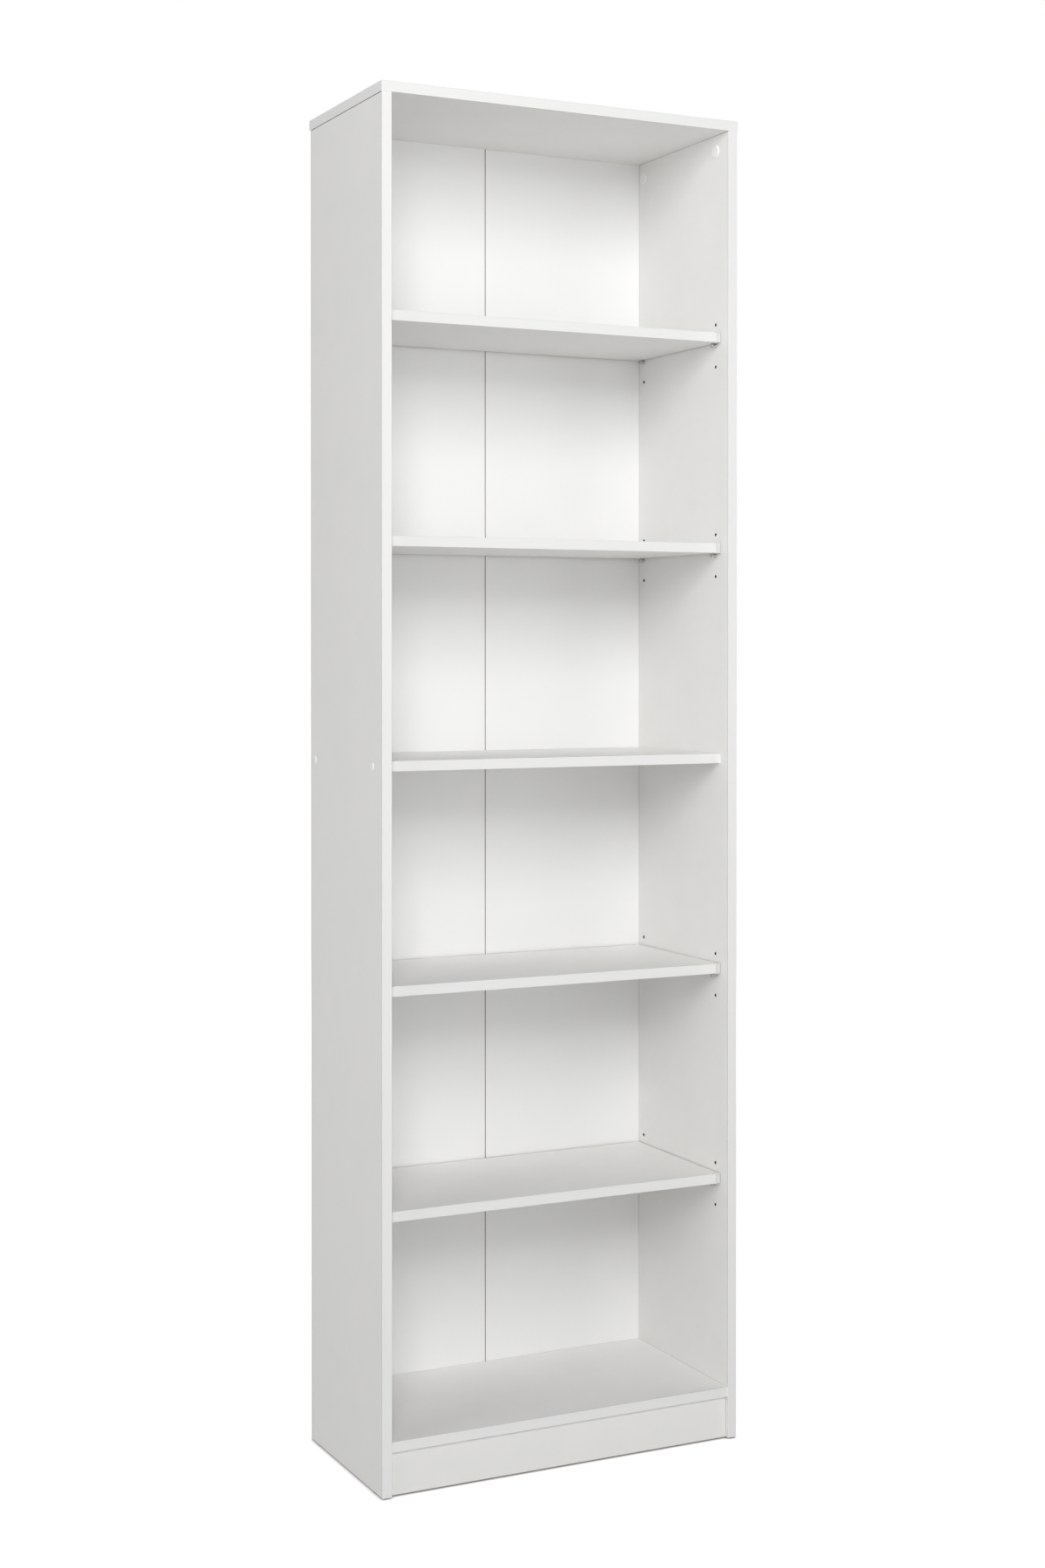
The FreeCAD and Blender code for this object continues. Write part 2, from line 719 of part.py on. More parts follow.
def cam_bolt(label, axis, centre, direction):
    """Bolt of a cam joint; its heights run from the thread, above the joint, down to the tip."""
    reach = "(dims.cam_setback + dims.bolt_overrun)"
    neck_low = f"(dims.bolt_tip - {reach})"
    neck_high = f"({neck_low} + dims.bolt_neck)"
    outline = [
        ("0", f"-1 * {reach}"),
        ("dims.bolt_radius - dims.bolt_chamfer", f"-1 * {reach}"),
        ("dims.bolt_radius", f"dims.bolt_chamfer - {reach}"),
        ("dims.bolt_radius", neck_low),
        ("dims.bolt_neck_radius", neck_low),
        ("dims.bolt_neck_radius", neck_high),
        ("dims.bolt_radius", neck_high),
        ("dims.bolt_radius", "0"),
        ("dims.bolt_thread_radius", "0"),
        ("dims.bolt_thread_radius", "dims.bolt_thread"),
        ("0", "dims.bolt_thread"),
    ]
    return turned(label, axis, centre, direction, outline)


def dowel(label, axis, centre, direction, below, above):
    """Wooden dowel with chamfered ends, across a joint plane."""
    radius = DOWEL_BODY_RADIUS
    outline = [
        ("0", f"-1 * {below}"),
        (f"{radius} - dims.dowel_chamfer", f"-1 * {below}"),
        (radius, f"dims.dowel_chamfer - {below}"),
        (radius, f"{above} - dims.dowel_chamfer"),
        (f"{radius} - dims.dowel_chamfer", above),
        ("0", above),
    ]
    return turned(label, axis, centre, direction, outline)


def cover_cap(label, centre, direction, sizes):
    """Push-in cover cap: a low dome on the panel's face with a peg behind it."""
    radius, face_radius, rim, height, peg_radius, peg = sizes
    outline = [
        ("0", f"-1 * {peg}"),
        (peg_radius, f"-1 * {peg}"),
        (peg_radius, "0"),
        (radius, "0"),
        (radius, rim),
        (face_radius, height),
        ("0", height),
    ]
    return turned(label, "X", centre, direction, outline)


def side_and_column():
    """Every side with every hole column, as (name, side, column)."""
    return [
        (f"{side_name}_{column_name}", side, column)
        for side_name, side in SIDES.items()
        for column_name, column in COLUMNS.items()
    ]


def side_and_dowel_row():
    """Every side with every dowel row, as (name, side, place)."""
    return [
        (f"{side_name}_{row_name}", side, place)
        for side_name, side in SIDES.items()
        for row_name, place in DOWEL_ROWS.items()
    ]


def top_joint():
    """Cams, bolts, cover caps and dowels between the sides and the top."""
    cap_sizes = (
        "dims.cam_cap_radius",
        "dims.cam_cap_face_radius",
        "dims.cam_cap_rim",
        "dims.cam_cap_height",
        "dims.cam_recess_radius - dims.peg_clearance",
        "(dims.cam_sink + dims.cam_recess_depth - dims.peg_end_gap)",
    )
    mouth_start = f"{TOP_CAM_Z} - {CAM_MOUTH_DEPTH}"
    cams, bolts, caps = [], [], []
    for name, side, column in side_and_column():
        face = f"{side} * ({INNER_X} + dims.cam_sink)"
        middle = f"{side} * {MIDDLE_X}"
        cams.append(cam_lock(
            f"top_cam_{name}", "X", (face, column, TOP_CAM_Z), side,
            "Z", mouth_start, 1, (middle, column),
        ))
        bolts.append(cam_bolt(f"top_bolt_{name}", "Z", (middle, column, SIDE_TOP_Z), 1))
        centre = (f"{side} * {INNER_X}", column, TOP_CAM_Z)
        caps.append(cover_cap(f"top_cap_{name}", centre, -side, cap_sizes))
    group("top_cam_locks", cams)
    group("top_cam_bolts", bolts)
    group("top_cam_cover_caps", caps)
    group("top_dowels", [
        dowel(f"top_dowel_{name}", "Z", (f"{side} * {MIDDLE_X}", place, SIDE_TOP_Z), 1,
              "dims.dowel_in_end", "dims.dowel_in_face")
        for name, side, place in side_and_dowel_row()
    ])


def bottom_joint():
    """Cams, bolts and dowels between the sides and the bottom shelf, and the plinth's dowels."""
    cams, bolts = [], []
    for name, side, column in side_and_column():
        cam_x = f"{side} * {BOTTOM_CAM_X}"
        mouth_start = f"{side} * ({BOTTOM_CAM_X} - {CAM_MOUTH_DEPTH})"
        face = f"{BOTTOM_UNDER_Z} + dims.cam_sink"
        cams.append(cam_lock(
            f"bottom_cam_{name}", "Z", (cam_x, column, face), 1,
            "X", mouth_start, side, (column, BOTTOM_MIDDLE_Z),
        ))
        centre = (f"{side} * {INNER_X}", column, BOTTOM_MIDDLE_Z)
        bolts.append(cam_bolt(f"bottom_bolt_{name}", "X", centre, side))
    group("bottom_cam_locks", cams)
    group("bottom_cam_bolts", bolts)
    group("bottom_dowels", [
        dowel(f"bottom_dowel_{name}", "X", (f"{side} * {INNER_X}", place, BOTTOM_MIDDLE_Z), side,
              "dims.dowel_in_end", "dims.dowel_in_face")
        for name, side, place in side_and_dowel_row()
    ])
    group("plinth_dowels", [
        dowel(f"plinth_dowel_{name}_{index}", "X",
              (f"{side} * {INNER_X}", PLINTH_MIDDLE_Y, height), side,
              "dims.dowel_in_end", "dims.dowel_in_face")
        for name, side in SIDES.items()
        for index, height in enumerate(plinth_dowel_heights(), start=1)
    ])


def fixed_shelf_joint():
    """Through screws of the fixed shelf and their cover caps."""
    screw_outline = [
        ("0", "-1 * dims.screw_length"),
        ("dims.screw_point_radius", "-1 * dims.screw_length"),
        ("dims.screw_radius", "dims.screw_point - dims.screw_length"),
        ("dims.screw_radius", "-1 * dims.screw_head"),
        ("dims.screw_head_radius", "-1 * dims.screw_head"),
        ("dims.screw_head_radius", "0"),
        ("dims.screw_socket_radius", "0"),
        ("dims.screw_socket_radius", "-1 * dims.screw_socket_depth"),
        ("0", "-1 * dims.screw_socket_depth"),
    ]
    cap_sizes = (
        "dims.screw_cap_radius",
        "dims.screw_cap_face_radius",
        "dims.screw_cap_rim",
        "dims.screw_cap_height",
        "dims.screw_socket_radius - dims.peg_clearance",
        "(dims.screw_socket_depth - dims.peg_end_gap)",
    )
    screws, caps = [], []
    for name, side, column in side_and_column():
        centre = (f"{side} * {SIDE_X}", column, FIXED_MIDDLE_Z)
        screws.append(turned(f"fixed_screw_{name}", "X", centre, side, screw_outline))
        caps.append(cover_cap(f"fixed_cap_{name}", centre, side, cap_sizes))
    group("fixed_shelf_screws", screws)
    group("fixed_shelf_screw_caps", caps)


def glides():
    """Nail-on glides under the sides, the only pieces that touch the floor."""
    outline = [
        ("0", "0"),
        ("dims.glide_radius - dims.glide_chamfer", "0"),
        ("dims.glide_radius", "dims.glide_chamfer"),
        ("dims.glide_radius", "dims.glide_height"),
        ("dims.glide_nail_radius", "dims.glide_height"),
        (
            "dims.glide_nail_radius",
            "dims.glide_height + dims.glide_nail_length - dims.glide_nail_point",
        ),
        ("0", "dims.glide_height + dims.glide_nail_length"),
    ]
    return group("floor_glides", [
        turned(f"glide_{name}_{index}", "Z", (f"{side} * {MIDDLE_X}", place, "0"), 1, outline)
        for name, side in SIDES.items()
        for index, place in enumerate(glide_places(), start=1)
    ])


# ---------------------------------------------------------------- assembly

def build_case():
    """Everything that stays put."""
    for name, side in SIDES.items():
        side_panel(f"{name}_side_panel", side)
        side_band(f"{name}_side_edge_band", side)
        back_half(f"back_panel_{name}", side)
    top_panel()
    top_bands()
    bottom_shelf()
    shelf_band("bottom_shelf_edge_band", INNER_X, BOTTOM_FRONT_Y, BOTTOM_UNDER_Z)
    fixed_shelf()
    shelf_band("fixed_shelf_edge_band", INNER_X, FIXED_FRONT_Y, row_under(FIXED_ROW))
    plinth()
    back_tape()
    back_nails()
    top_joint()
    bottom_joint()
    fixed_shelf_joint()
    glides()


def build_shelves():
    """The four loose shelves with their bands, clips and pins."""
    for number, row in ADJUSTABLE_ROWS.items():
        adjustable_shelf(number, row)
        band_label = f"adjustable_shelf_{number}_edge_band"
        shelf_band(band_label, SHELF_END_X, SHELF_FRONT_Y, row_under(row))
        group(f"adjustable_shelf_{number}_clips", [
            shelf_clip(f"clip_{number}_{name}", side, row) for name, side in SIDES.items()
        ])
        for name, side, column in side_and_column():
            shelf_pin(f"shelf_{number}_pin_{name}", side, column, row)


def check_objects():
    """Stop if any object failed or any node has no sound shape."""
    failed = [
        item.Name for item in doc.Objects
        if any(word in state for state in item.State for word in ("Invalid", "Error"))
    ]
    if failed:
        raise RuntimeError(f"failed objects: {failed}")
    for item in components + nodes:
        if item.Shape.isNull() or not item.Shape.isValid() or item.Shape.Volume <= 0:
            raise RuntimeError(f"{item.Label} has no sound shape")


def write_nodes():
    """Write one STEP file for each node."""
    os.makedirs("parts", exist_ok=True)
    for node in nodes:
        node.Shape.exportStep(f"parts/{node.Label}.step")


build_case()
build_shelves()
doc.recompute()
check_objects()
write_nodes()
box = Part.makeCompound([node.Shape for node in nodes]).BoundBox
print(f"{len(nodes)} nodes, {box.XLength:.1f} x {box.YLength:.1f} x {box.ZLength:.1f} mm")
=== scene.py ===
"""Looks of a tall white bookcase with four adjustable shelves.

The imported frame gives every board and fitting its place.  Boards and hidden fittings keep their frame
shapes and get their finishes here; pins, clips, caps, tape, nails and glides are made again as finer
surfaces in the same places.  Lengths are in metres unless a name ends in _mm.
"""

from __future__ import annotations

import logging
import math
from dataclasses import dataclass
from enum import Enum
from typing import Any, Sequence

import bpy
import numpy as np
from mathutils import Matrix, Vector


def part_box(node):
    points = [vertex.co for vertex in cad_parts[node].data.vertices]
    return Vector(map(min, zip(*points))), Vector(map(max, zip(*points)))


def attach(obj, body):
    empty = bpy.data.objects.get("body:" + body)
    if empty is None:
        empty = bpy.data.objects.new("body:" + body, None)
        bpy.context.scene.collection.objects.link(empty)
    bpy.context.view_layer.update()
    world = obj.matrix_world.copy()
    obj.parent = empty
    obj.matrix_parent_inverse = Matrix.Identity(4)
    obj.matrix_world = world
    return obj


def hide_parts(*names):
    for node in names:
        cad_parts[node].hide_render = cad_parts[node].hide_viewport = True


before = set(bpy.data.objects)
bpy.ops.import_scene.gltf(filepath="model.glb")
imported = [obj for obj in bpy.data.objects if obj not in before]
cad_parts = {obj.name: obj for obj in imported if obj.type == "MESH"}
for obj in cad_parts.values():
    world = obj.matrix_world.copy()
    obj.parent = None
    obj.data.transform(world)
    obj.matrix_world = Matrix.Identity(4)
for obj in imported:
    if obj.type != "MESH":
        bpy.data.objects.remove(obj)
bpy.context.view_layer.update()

log = logging.getLogger("bookcase")

MM = 0.001
ALONG = "along_mm"
CASE = "case"
# edges bent more than this stay sharp
SHARP_ANGLE = math.radians(40)


class Axis(Enum):
    """A direction of the frame."""

    X = 0
    Y = 1
    Z = 2

    @property
    def unit(self) -> tuple[float, ...]:
        """The direction as a unit vector."""
        return tuple(float(place == self.value) for place in range(3))


class Side(Enum):
    """A side of the case, with the sign of its X."""

    LEFT = -1
    RIGHT = 1


# ------------------------------------------------------------------------------------------ finishes


def linear(colour: str) -> tuple[float, ...]:
    """An sRGB hex colour as linear light with full opacity.

    Args:
        colour: such as "#E8E8E4".

    Returns:
        Red, green, blue and 1.
    """
    parts = np.array([int(colour[start : start + 2], 16) for start in (1, 3, 5)]) / 255
    light = np.where(parts <= 0.04045, parts / 12.92, ((parts + 0.055) / 1.055) ** 2.4)
    return (*light.tolist(), 1.0)


def add_node(
    tree: bpy.types.NodeTree,
    kind: str,
    inputs: dict[str | int, Any] | None = None,
    out: str | int = 0,
    **settings: Any,
) -> bpy.types.NodeSocket:
    """Adds one node with its settings and links.

    Args:
        tree: the node tree.
        kind: the node's type, without its ShaderNode prefix.
        inputs: for each input, by name or number, a value or the socket that it is linked from.
        out: the output wanted, by name or number.
        **settings: properties of the node.

    Returns:
        The wanted output; its node attribute is the new node.
    """
    node = tree.nodes.new(f"ShaderNode{kind}")
    for name, setting in settings.items():
        setattr(node, name, setting)
    for key, source in (inputs or {}).items():
        if isinstance(source, bpy.types.NodeSocket):
            tree.links.new(source, node.inputs[key])
        else:
            node.inputs[key].default_value = source
    return node.outputs[out]


def per_metre(size_mm: float) -> float:
    """Texture scale of a pattern whose cells are size_mm across."""
    return 1 / (size_mm * MM)


# first colour, second colour and result of a colour Mix
FIRST, SECOND, MIXED = 6, 7, 2


def shades(colours: tuple[str, str]) -> dict[str | int, Any]:
    """Two hex colours as the two ends of a mix, in linear light."""
    return {FIRST: linear(colours[0]), SECOND: linear(colours[1])}


def limits(ends: tuple[float, float]) -> dict[str | int, Any]:
    """Two numbers as the two ends of a range."""
    return {"To Min": ends[0], "To Max": ends[1]}


@dataclass(frozen=True)
class Finish:
    """A surface finish: one material, drawn once by its subclass."""

    title: str

    def draw(self, tree: bpy.types.NodeTree) -> dict[str, Any]:
        """Draws the finish's patterns.

        Args:
            tree: the material's node tree.

        Returns:
            A value or a socket for each of the shader's inputs that the finish sets.
        """
        raise NotImplementedError

    def material(self) -> bpy.types.Material:
        """Finds the finish's material, or draws it at its first use.

        Returns:
            The material.
        """
        found = bpy.data.materials.get(self.title)
        if found is not None:
            return found
        material = bpy.data.materials.new(self.title)
        material.use_nodes = True
        tree = material.node_tree
        shader = tree.nodes["Principled BSDF"]
        for name, source in self.draw(tree).items():
            if isinstance(source, bpy.types.NodeSocket):
                tree.links.new(source, shader.inputs[name])
            else:
                shader.inputs[name].default_value = source
        return material


@dataclass(frozen=True)
class MelamineBoard(Finish):
    """Chipboard between two sheets of satin white melamine.

    The sheets are pressed against a finely pitted plate, which breaks up every highlight.  Cut edges
    show the chips of the core; drilled holes and pockets are coloured near black, as painted shade deep
    in each hole.  The fine grey line round each sheet is partly the glue line and partly painted shade
    of the hairline gap along every joint.
    """

    across: Axis
    low: tuple[float, ...]
    high: tuple[float, ...]
    white: tuple[str, str] = ("#EEEEEC", "#F7F6F5")
    cloud_mm: float = 90.0
    # pits of the plate are about 0.5 mm across; drawn at 2 mm so that they show
    pit_mm: float = 2.0
    pit_depth_mm: float = 0.05
    chips: tuple[str, str, str] = ("#7D5F3F", "#AD9067", "#D2BC93")
    chip_mm: float = 2.0
    chip_depth_mm: float = 0.2
    # painted shade: the core inside drilled holes and pockets is coloured near black, where shade falls
    # in them
    painted_hole_shade: str = "#2E241C"
    # the line is partly the glue line, about 0.2 mm wide, and partly painted shade of the joint gap;
    # drawn at 0.7 mm so that it shows
    line: str = "#B8B5AF"
    line_mm: float = 0.7
    # how near a face must be to the board's own faces, and how squarely it must face along them
    skin_mm: float = 0.2
    square_on: float = 0.95
    roughness: tuple[float, float] = (0.42, 0.50)
    core_roughness: float = 0.9

    def draw(self, tree: bpy.types.NodeTree) -> dict[str, Any]:
        """Satin white sheets, chips of wood on cut edges, and painted shade in holes.

        Args:
            tree: the node tree.

        Returns:
            What the shader's inputs get.
        """
        point = add_node(tree, "TexCoord", out="Object")
        from_low = add_node(tree, "VectorMath", {0: point, 1: self.low}, operation="SUBTRACT")
        from_high = add_node(tree, "VectorMath", {0: point, 1: self.high}, operation="SUBTRACT")
        in_low = add_node(tree, "VectorMath", {0: from_low}, operation="ABSOLUTE")
        in_high = add_node(tree, "VectorMath", {0: from_high}, operation="ABSOLUTE")
        nearest = add_node(tree, "VectorMath", {0: in_low, 1: in_high}, operation="MINIMUM")
        inset = add_node(tree, "SeparateXYZ", {0: nearest}).node.outputs
        cut = [inset[axis.value] for axis in Axis if axis is not self.across]

        normal = add_node(tree, "NewGeometry", out="True Normal")
        facing = add_node(
            tree, "VectorMath", {0: normal, 1: self.across.unit}, "Value", operation="DOT_PRODUCT"
        )
        straight = add_node(tree, "Math", {0: facing}, operation="ABSOLUTE")
        flat = add_node(tree, "Math", {0: straight, 1: self.square_on}, operation="GREATER_THAN")
        skin = self.skin_mm * MM
        depth = inset[self.across.value]
        outside = add_node(tree, "Math", {0: depth, 1: skin}, operation="LESS_THAN")
        sheet = add_node(tree, "Math", {0: flat, 1: outside}, operation="MULTIPLY")
        core = add_node(tree, "Math", {0: 1.0, 1: sheet}, operation="SUBTRACT")
        edge = add_node(tree, "Math", {0: cut[0], 1: cut[1]}, operation="MINIMUM")
        sawn = add_node(tree, "Math", {0: edge, 1: skin}, operation="LESS_THAN")

        mottle = {"Scale": per_metre(self.cloud_mm), "Detail": 6.0, "Roughness": 0.75}
        cloud = add_node(tree, "TexNoise", {"Vector": point, **mottle})
        white = add_node(tree, "Mix", {0: cloud, **shades(self.white)}, MIXED, data_type="RGBA")
        # grey line round each sheet: glue line and painted shade of the hairline gap at joints
        lined = add_node(tree, "Math", {0: edge, 1: self.line_mm * MM}, operation="LESS_THAN")
        white = add_node(
            tree, "Mix", {0: lined, FIRST: white, SECOND: linear(self.line)}, MIXED, data_type="RGBA"
        )
        chip_size = {"Vector": point, "Scale": per_metre(self.chip_mm)}
        tone = add_node(tree, "TexVoronoi", chip_size, "Color")
        relief = add_node(tree, "TexVoronoi", chip_size, "Distance")
        wood = add_node(tree, "ValToRGB", {0: tone})
        set_stops(wood.node.color_ramp, dict(zip((0.2, 0.5, 0.8), self.chips)))
        # cut edges show wood chips; holes and pockets get the painted hole shade instead
        inner = add_node(
            tree, "Mix", {0: sawn, FIRST: linear(self.painted_hole_shade), SECOND: wood}, MIXED, data_type="RGBA"
        )
        colour = add_node(tree, "Mix", {0: sheet, FIRST: inner, SECOND: white}, MIXED, data_type="RGBA")

        satin = add_node(tree, "MapRange", {"Value": cloud, **limits(self.roughness)})
        uneven = {"To Min": satin, "To Max": self.core_roughness}
        rough = add_node(tree, "MapRange", {"Value": core, **uneven})
        pits = add_node(tree, "TexNoise", {"Vector": point, "Scale": per_metre(self.pit_mm)})
        pressed = add_node(tree, "Bump", {"Height": pits, "Distance": self.pit_depth_mm * MM}, "Normal")
        crumbs = add_node(tree, "Math", {0: relief, 1: core}, operation="MULTIPLY")
        normal = add_node(
            tree, "Bump",
            {"Height": crumbs, "Distance": self.chip_depth_mm * MM, "Normal": pressed}, "Normal",
        )
        return {"Base Color": colour, "Roughness": rough, "Normal": normal}


def set_stops(ramp: bpy.types.ColorRamp, stops: dict[float, str]) -> None:
    """Puts hex colours at places of a new node's colour ramp.

    Args:
        ramp: the ramp, which starts with two stops.
        stops: at least two places, each with its colour.
    """
    while len(ramp.elements) < len(stops):
        ramp.elements.new(0.5)
    for element, (place, colour) in zip(ramp.elements, stops.items()):
        element.position = place
        element.color = linear(colour)


@dataclass(frozen=True)
class EdgeBand(Finish):
    """Extruded white ABS edging, scraped and buffed along its length after it is glued on.

    The buffing leaves it a little glossier than the boards, with marks drawn out along the edge.
    """

    along: Axis
    white: tuple[str, str] = ("#F1F1F0", "#F4F4F3")
    # scraper marks are about 0.3 mm wide; drawn at 1.2 mm so that they show
    mark_mm: float = 1.2
    mark_stretch: float = 60.0
    mark_depth_mm: float = 0.008
    roughness: tuple[float, float] = (0.32, 0.42)

    def draw(self, tree: bpy.types.NodeTree) -> dict[str, Any]:
        """Fine scraper marks drawn out along the band.

        Args:
            tree: the node tree.

        Returns:
            What the shader's inputs get.
        """
        point = add_node(tree, "TexCoord", out="Object")
        squeeze = tuple(1 / self.mark_stretch if part else 1.0 for part in self.along.unit)
        drawn = add_node(tree, "Mapping", {"Vector": point, "Scale": squeeze})
        marks = add_node(tree, "TexNoise", {"Vector": drawn, "Scale": per_metre(self.mark_mm)})
        colour = add_node(tree, "Mix", {0: marks, **shades(self.white)}, MIXED, data_type="RGBA")
        rough = add_node(tree, "MapRange", {"Value": marks, **limits(self.roughness)})
        normal = add_node(
            tree, "Bump", {"Height": marks, "Distance": self.mark_depth_mm * MM}, "Normal"
        )
        return {"Base Color": colour, "Roughness": rough, "Normal": normal}


@dataclass(frozen=True)
class Hardboard(Finish):
    """Wet-formed hardboard, lacquered white on its smooth face and left brown behind.

    The wire screen that it is pressed on leaves a woven mark on the rough side, and the roller
    leaves a faint orange peel in the lacquer.
    """

    lacquer: tuple[str, str] = ("#F4F4F3", "#F6F6F6")
    brown: tuple[str, str, str] = ("#795739", "#866340", "#937049")
    # wires of the screen are about 1 mm apart; drawn at 2.5 mm so that they show
    screen_mm: float = 2.5
    screen_depth_mm: float = 0.12
    fibre_mm: float = 5.0
    stain_mm: float = 140.0
    peel_mm: float = 2.5
    peel_depth_mm: float = 0.008
    cloud_mm: float = 60.0
    # how squarely a face must face forward to be all lacquer, or backward to be all brown
    square_on: float = 0.9
    roughness: tuple[float, float] = (0.8, 0.4)

    def draw(self, tree: bpy.types.NodeTree) -> dict[str, Any]:
        """White towards the shelves, misted over on the sawn edges; brown and woven behind.

        Args:
            tree: the node tree.

        Returns:
            What the shader's inputs get.
        """
        point = add_node(tree, "TexCoord", out="Object")
        normal = add_node(tree, "NewGeometry", out="True Normal")
        facing = add_node(
            tree, "VectorMath", {0: normal, 1: Axis.Y.unit}, "Value", operation="DOT_PRODUCT"
        )
        turn = {"From Min": self.square_on, "From Max": -self.square_on}
        front = add_node(tree, "MapRange", {"Value": facing, **turn})
        rear = add_node(tree, "Math", {0: 1.0, 1: front}, operation="SUBTRACT")
        cloud = add_node(tree, "TexNoise", {"Vector": point, "Scale": per_metre(self.cloud_mm)})
        white = add_node(tree, "Mix", {0: cloud, **shades(self.lacquer)}, MIXED, data_type="RGBA")
        fibres = add_node(
            tree, "TexNoise", {"Vector": point, "Scale": per_metre(self.fibre_mm), "Detail": 7.0}
        )
        stains = add_node(tree, "TexNoise", {"Vector": point, "Scale": per_metre(self.stain_mm)})
        tone = add_node(tree, "Math", {0: fibres, 1: stains}, operation="ADD")
        half = add_node(tree, "Math", {0: tone, 1: 0.5}, operation="MULTIPLY")
        wood = add_node(tree, "ValToRGB", {0: half})
        set_stops(wood.node.color_ramp, dict(zip((0.35, 0.5, 0.65), self.brown)))
        colour = add_node(tree, "Mix", {0: front, FIRST: wood, SECOND: white}, MIXED, data_type="RGBA")
        rough = add_node(tree, "MapRange", {"Value": front, **limits(self.roughness)})
        waves = add_node(
            tree, "VectorMath", {0: point, "Scale": 2 * math.pi * per_metre(self.screen_mm)},
            operation="SCALE",
        )
        wires = add_node(tree, "VectorMath", {0: waves}, operation="SINE")
        parts = add_node(tree, "SeparateXYZ", {0: wires}).node
        woven = add_node(
            tree, "Math", {0: parts.outputs["X"], 1: parts.outputs["Z"]}, operation="MULTIPLY"
        )
        screen = add_node(tree, "Math", {0: woven, 1: rear}, operation="MULTIPLY")
        peel = add_node(tree, "TexNoise", {"Vector": point, "Scale": per_metre(self.peel_mm)})
        rolled = add_node(tree, "Bump", {"Height": peel, "Distance": self.peel_depth_mm * MM}, "Normal")
        normal = add_node(
            tree, "Bump",
            {"Height": screen, "Distance": self.screen_depth_mm / 2 * MM, "Normal": rolled}, "Normal",
        )
        return {"Base Color": colour, "Roughness": rough, "Normal": normal}


@dataclass(frozen=True)
class CrepeTape(Finish):
    """Buff crepe paper tape, creased on a drum: fine dull ridges across its width."""

    buff: tuple[str, str] = ("#B3A184", "#C9B99C")
    # ridges are about 0.4 mm apart; drawn at 1.2 mm so that they show
    ridge_mm: float = 1.2
    ridge_stretch: float = 8.0
    ridge_depth_mm: float = 0.1
    roughness: tuple[float, float] = (0.75, 0.55)

    def draw(self, tree: bpy.types.NodeTree) -> dict[str, Any]:
        """Ridges drawn out across the tape.

        Args:
            tree: the node tree.

        Returns:
            What the shader's inputs get.
        """
        point = add_node(tree, "TexCoord", out="Object")
        squeeze = (1 / self.ridge_stretch, 1.0, 1.0)
        drawn = add_node(tree, "Mapping", {"Vector": point, "Scale": squeeze})
        ridges = add_node(tree, "TexNoise", {"Vector": drawn, "Scale": per_metre(self.ridge_mm)})
        colour = add_node(tree, "Mix", {0: ridges, **shades(self.buff)}, MIXED, data_type="RGBA")
        rough = add_node(tree, "MapRange", {"Value": ridges, **limits(self.roughness)})
        normal = add_node(
            tree, "Bump", {"Height": ridges, "Distance": self.ridge_depth_mm * MM}, "Normal"
        )
        return {"Base Color": colour, "Roughness": rough, "Normal": normal}


@dataclass(frozen=True)
class LatheTurnedMetal(Finish):
    """Steel turned on a lathe or upset in a die, then plated.

    The tool leaves rings that follow the piece's outline, seen as fine lines in the highlights, and
    handling leaves faint clouds in the plating.
    """

    tones: tuple[str, str] = ("#B4B4B3", "#CFCFCD")
    ring_mm: float = 0.35
    ring_depth_mm: float = 0.01
    roughness: tuple[float, float] = (0.18, 0.30)
    cloud_mm: float = 2.5

    def draw(self, tree: bpy.types.NodeTree) -> dict[str, Any]:
        """Rings from the length along the outline, and clouds.

        Args:
            tree: the node tree.

        Returns:
            What the shader's inputs get.
        """
        along = add_node(tree, "Attribute", out="Fac", attribute_name=ALONG)
        turns = add_node(tree, "Math", {0: along, 1: 2 * math.pi / self.ring_mm}, operation="MULTIPLY")
        rings = add_node(tree, "Math", {0: turns}, operation="SINE")
        point = add_node(tree, "TexCoord", out="Object")
        cloud = add_node(tree, "TexNoise", {"Vector": point, "Scale": per_metre(self.cloud_mm)})
        colour = add_node(tree, "Mix", {0: cloud, **shades(self.tones)}, MIXED, data_type="RGBA")
        rough = add_node(tree, "MapRange", {"Value": cloud, **limits(self.roughness)})
        normal = add_node(
            tree, "Bump", {"Height": rings, "Distance": self.ring_depth_mm / 2 * MM}, "Normal"
        )
        return {"Base Color": colour, "Metallic": 1.0, "Roughness": rough, "Normal": normal}


@dataclass(frozen=True)
class RolledThread(Finish):
    """Zinc-plated steel with a rolled thread, drawn as ridges across the fastener's length."""

    along: Axis
    tones: tuple[str, str] = ("#A9ADB0", "#C8CCD0")
    pitch_mm: float = 1.6
    thread_depth_mm: float = 0.3
    cloud_mm: float = 3.0
    roughness: tuple[float, float] = (0.28, 0.42)

    def draw(self, tree: bpy.types.NodeTree) -> dict[str, Any]:
        """Thread ridges and a thin cloudy plating.

        Args:
            tree: the node tree.

        Returns:
            What the shader's inputs get.
        """
        point = add_node(tree, "TexCoord", out="Object")
        place = add_node(
            tree, "VectorMath", {0: point, 1: self.along.unit}, "Value", operation="DOT_PRODUCT"
        )
        ridges = add_node(tree, "Math", {0: place, 1: self.pitch_mm / 2 * MM}, operation="PINGPONG")
        height = add_node(tree, "Math", {0: ridges, 1: 2 / self.pitch_mm / MM}, operation="MULTIPLY")
        cloud = add_node(tree, "TexNoise", {"Vector": point, "Scale": per_metre(self.cloud_mm)})
        colour = add_node(tree, "Mix", {0: cloud, **shades(self.tones)}, MIXED, data_type="RGBA")
        rough = add_node(tree, "MapRange", {"Value": cloud, **limits(self.roughness)})
        normal = add_node(
            tree, "Bump", {"Height": height, "Distance": self.thread_depth_mm * MM}, "Normal"
        )
        return {"Base Color": colour, "Metallic": 1.0, "Roughness": rough, "Normal": normal}


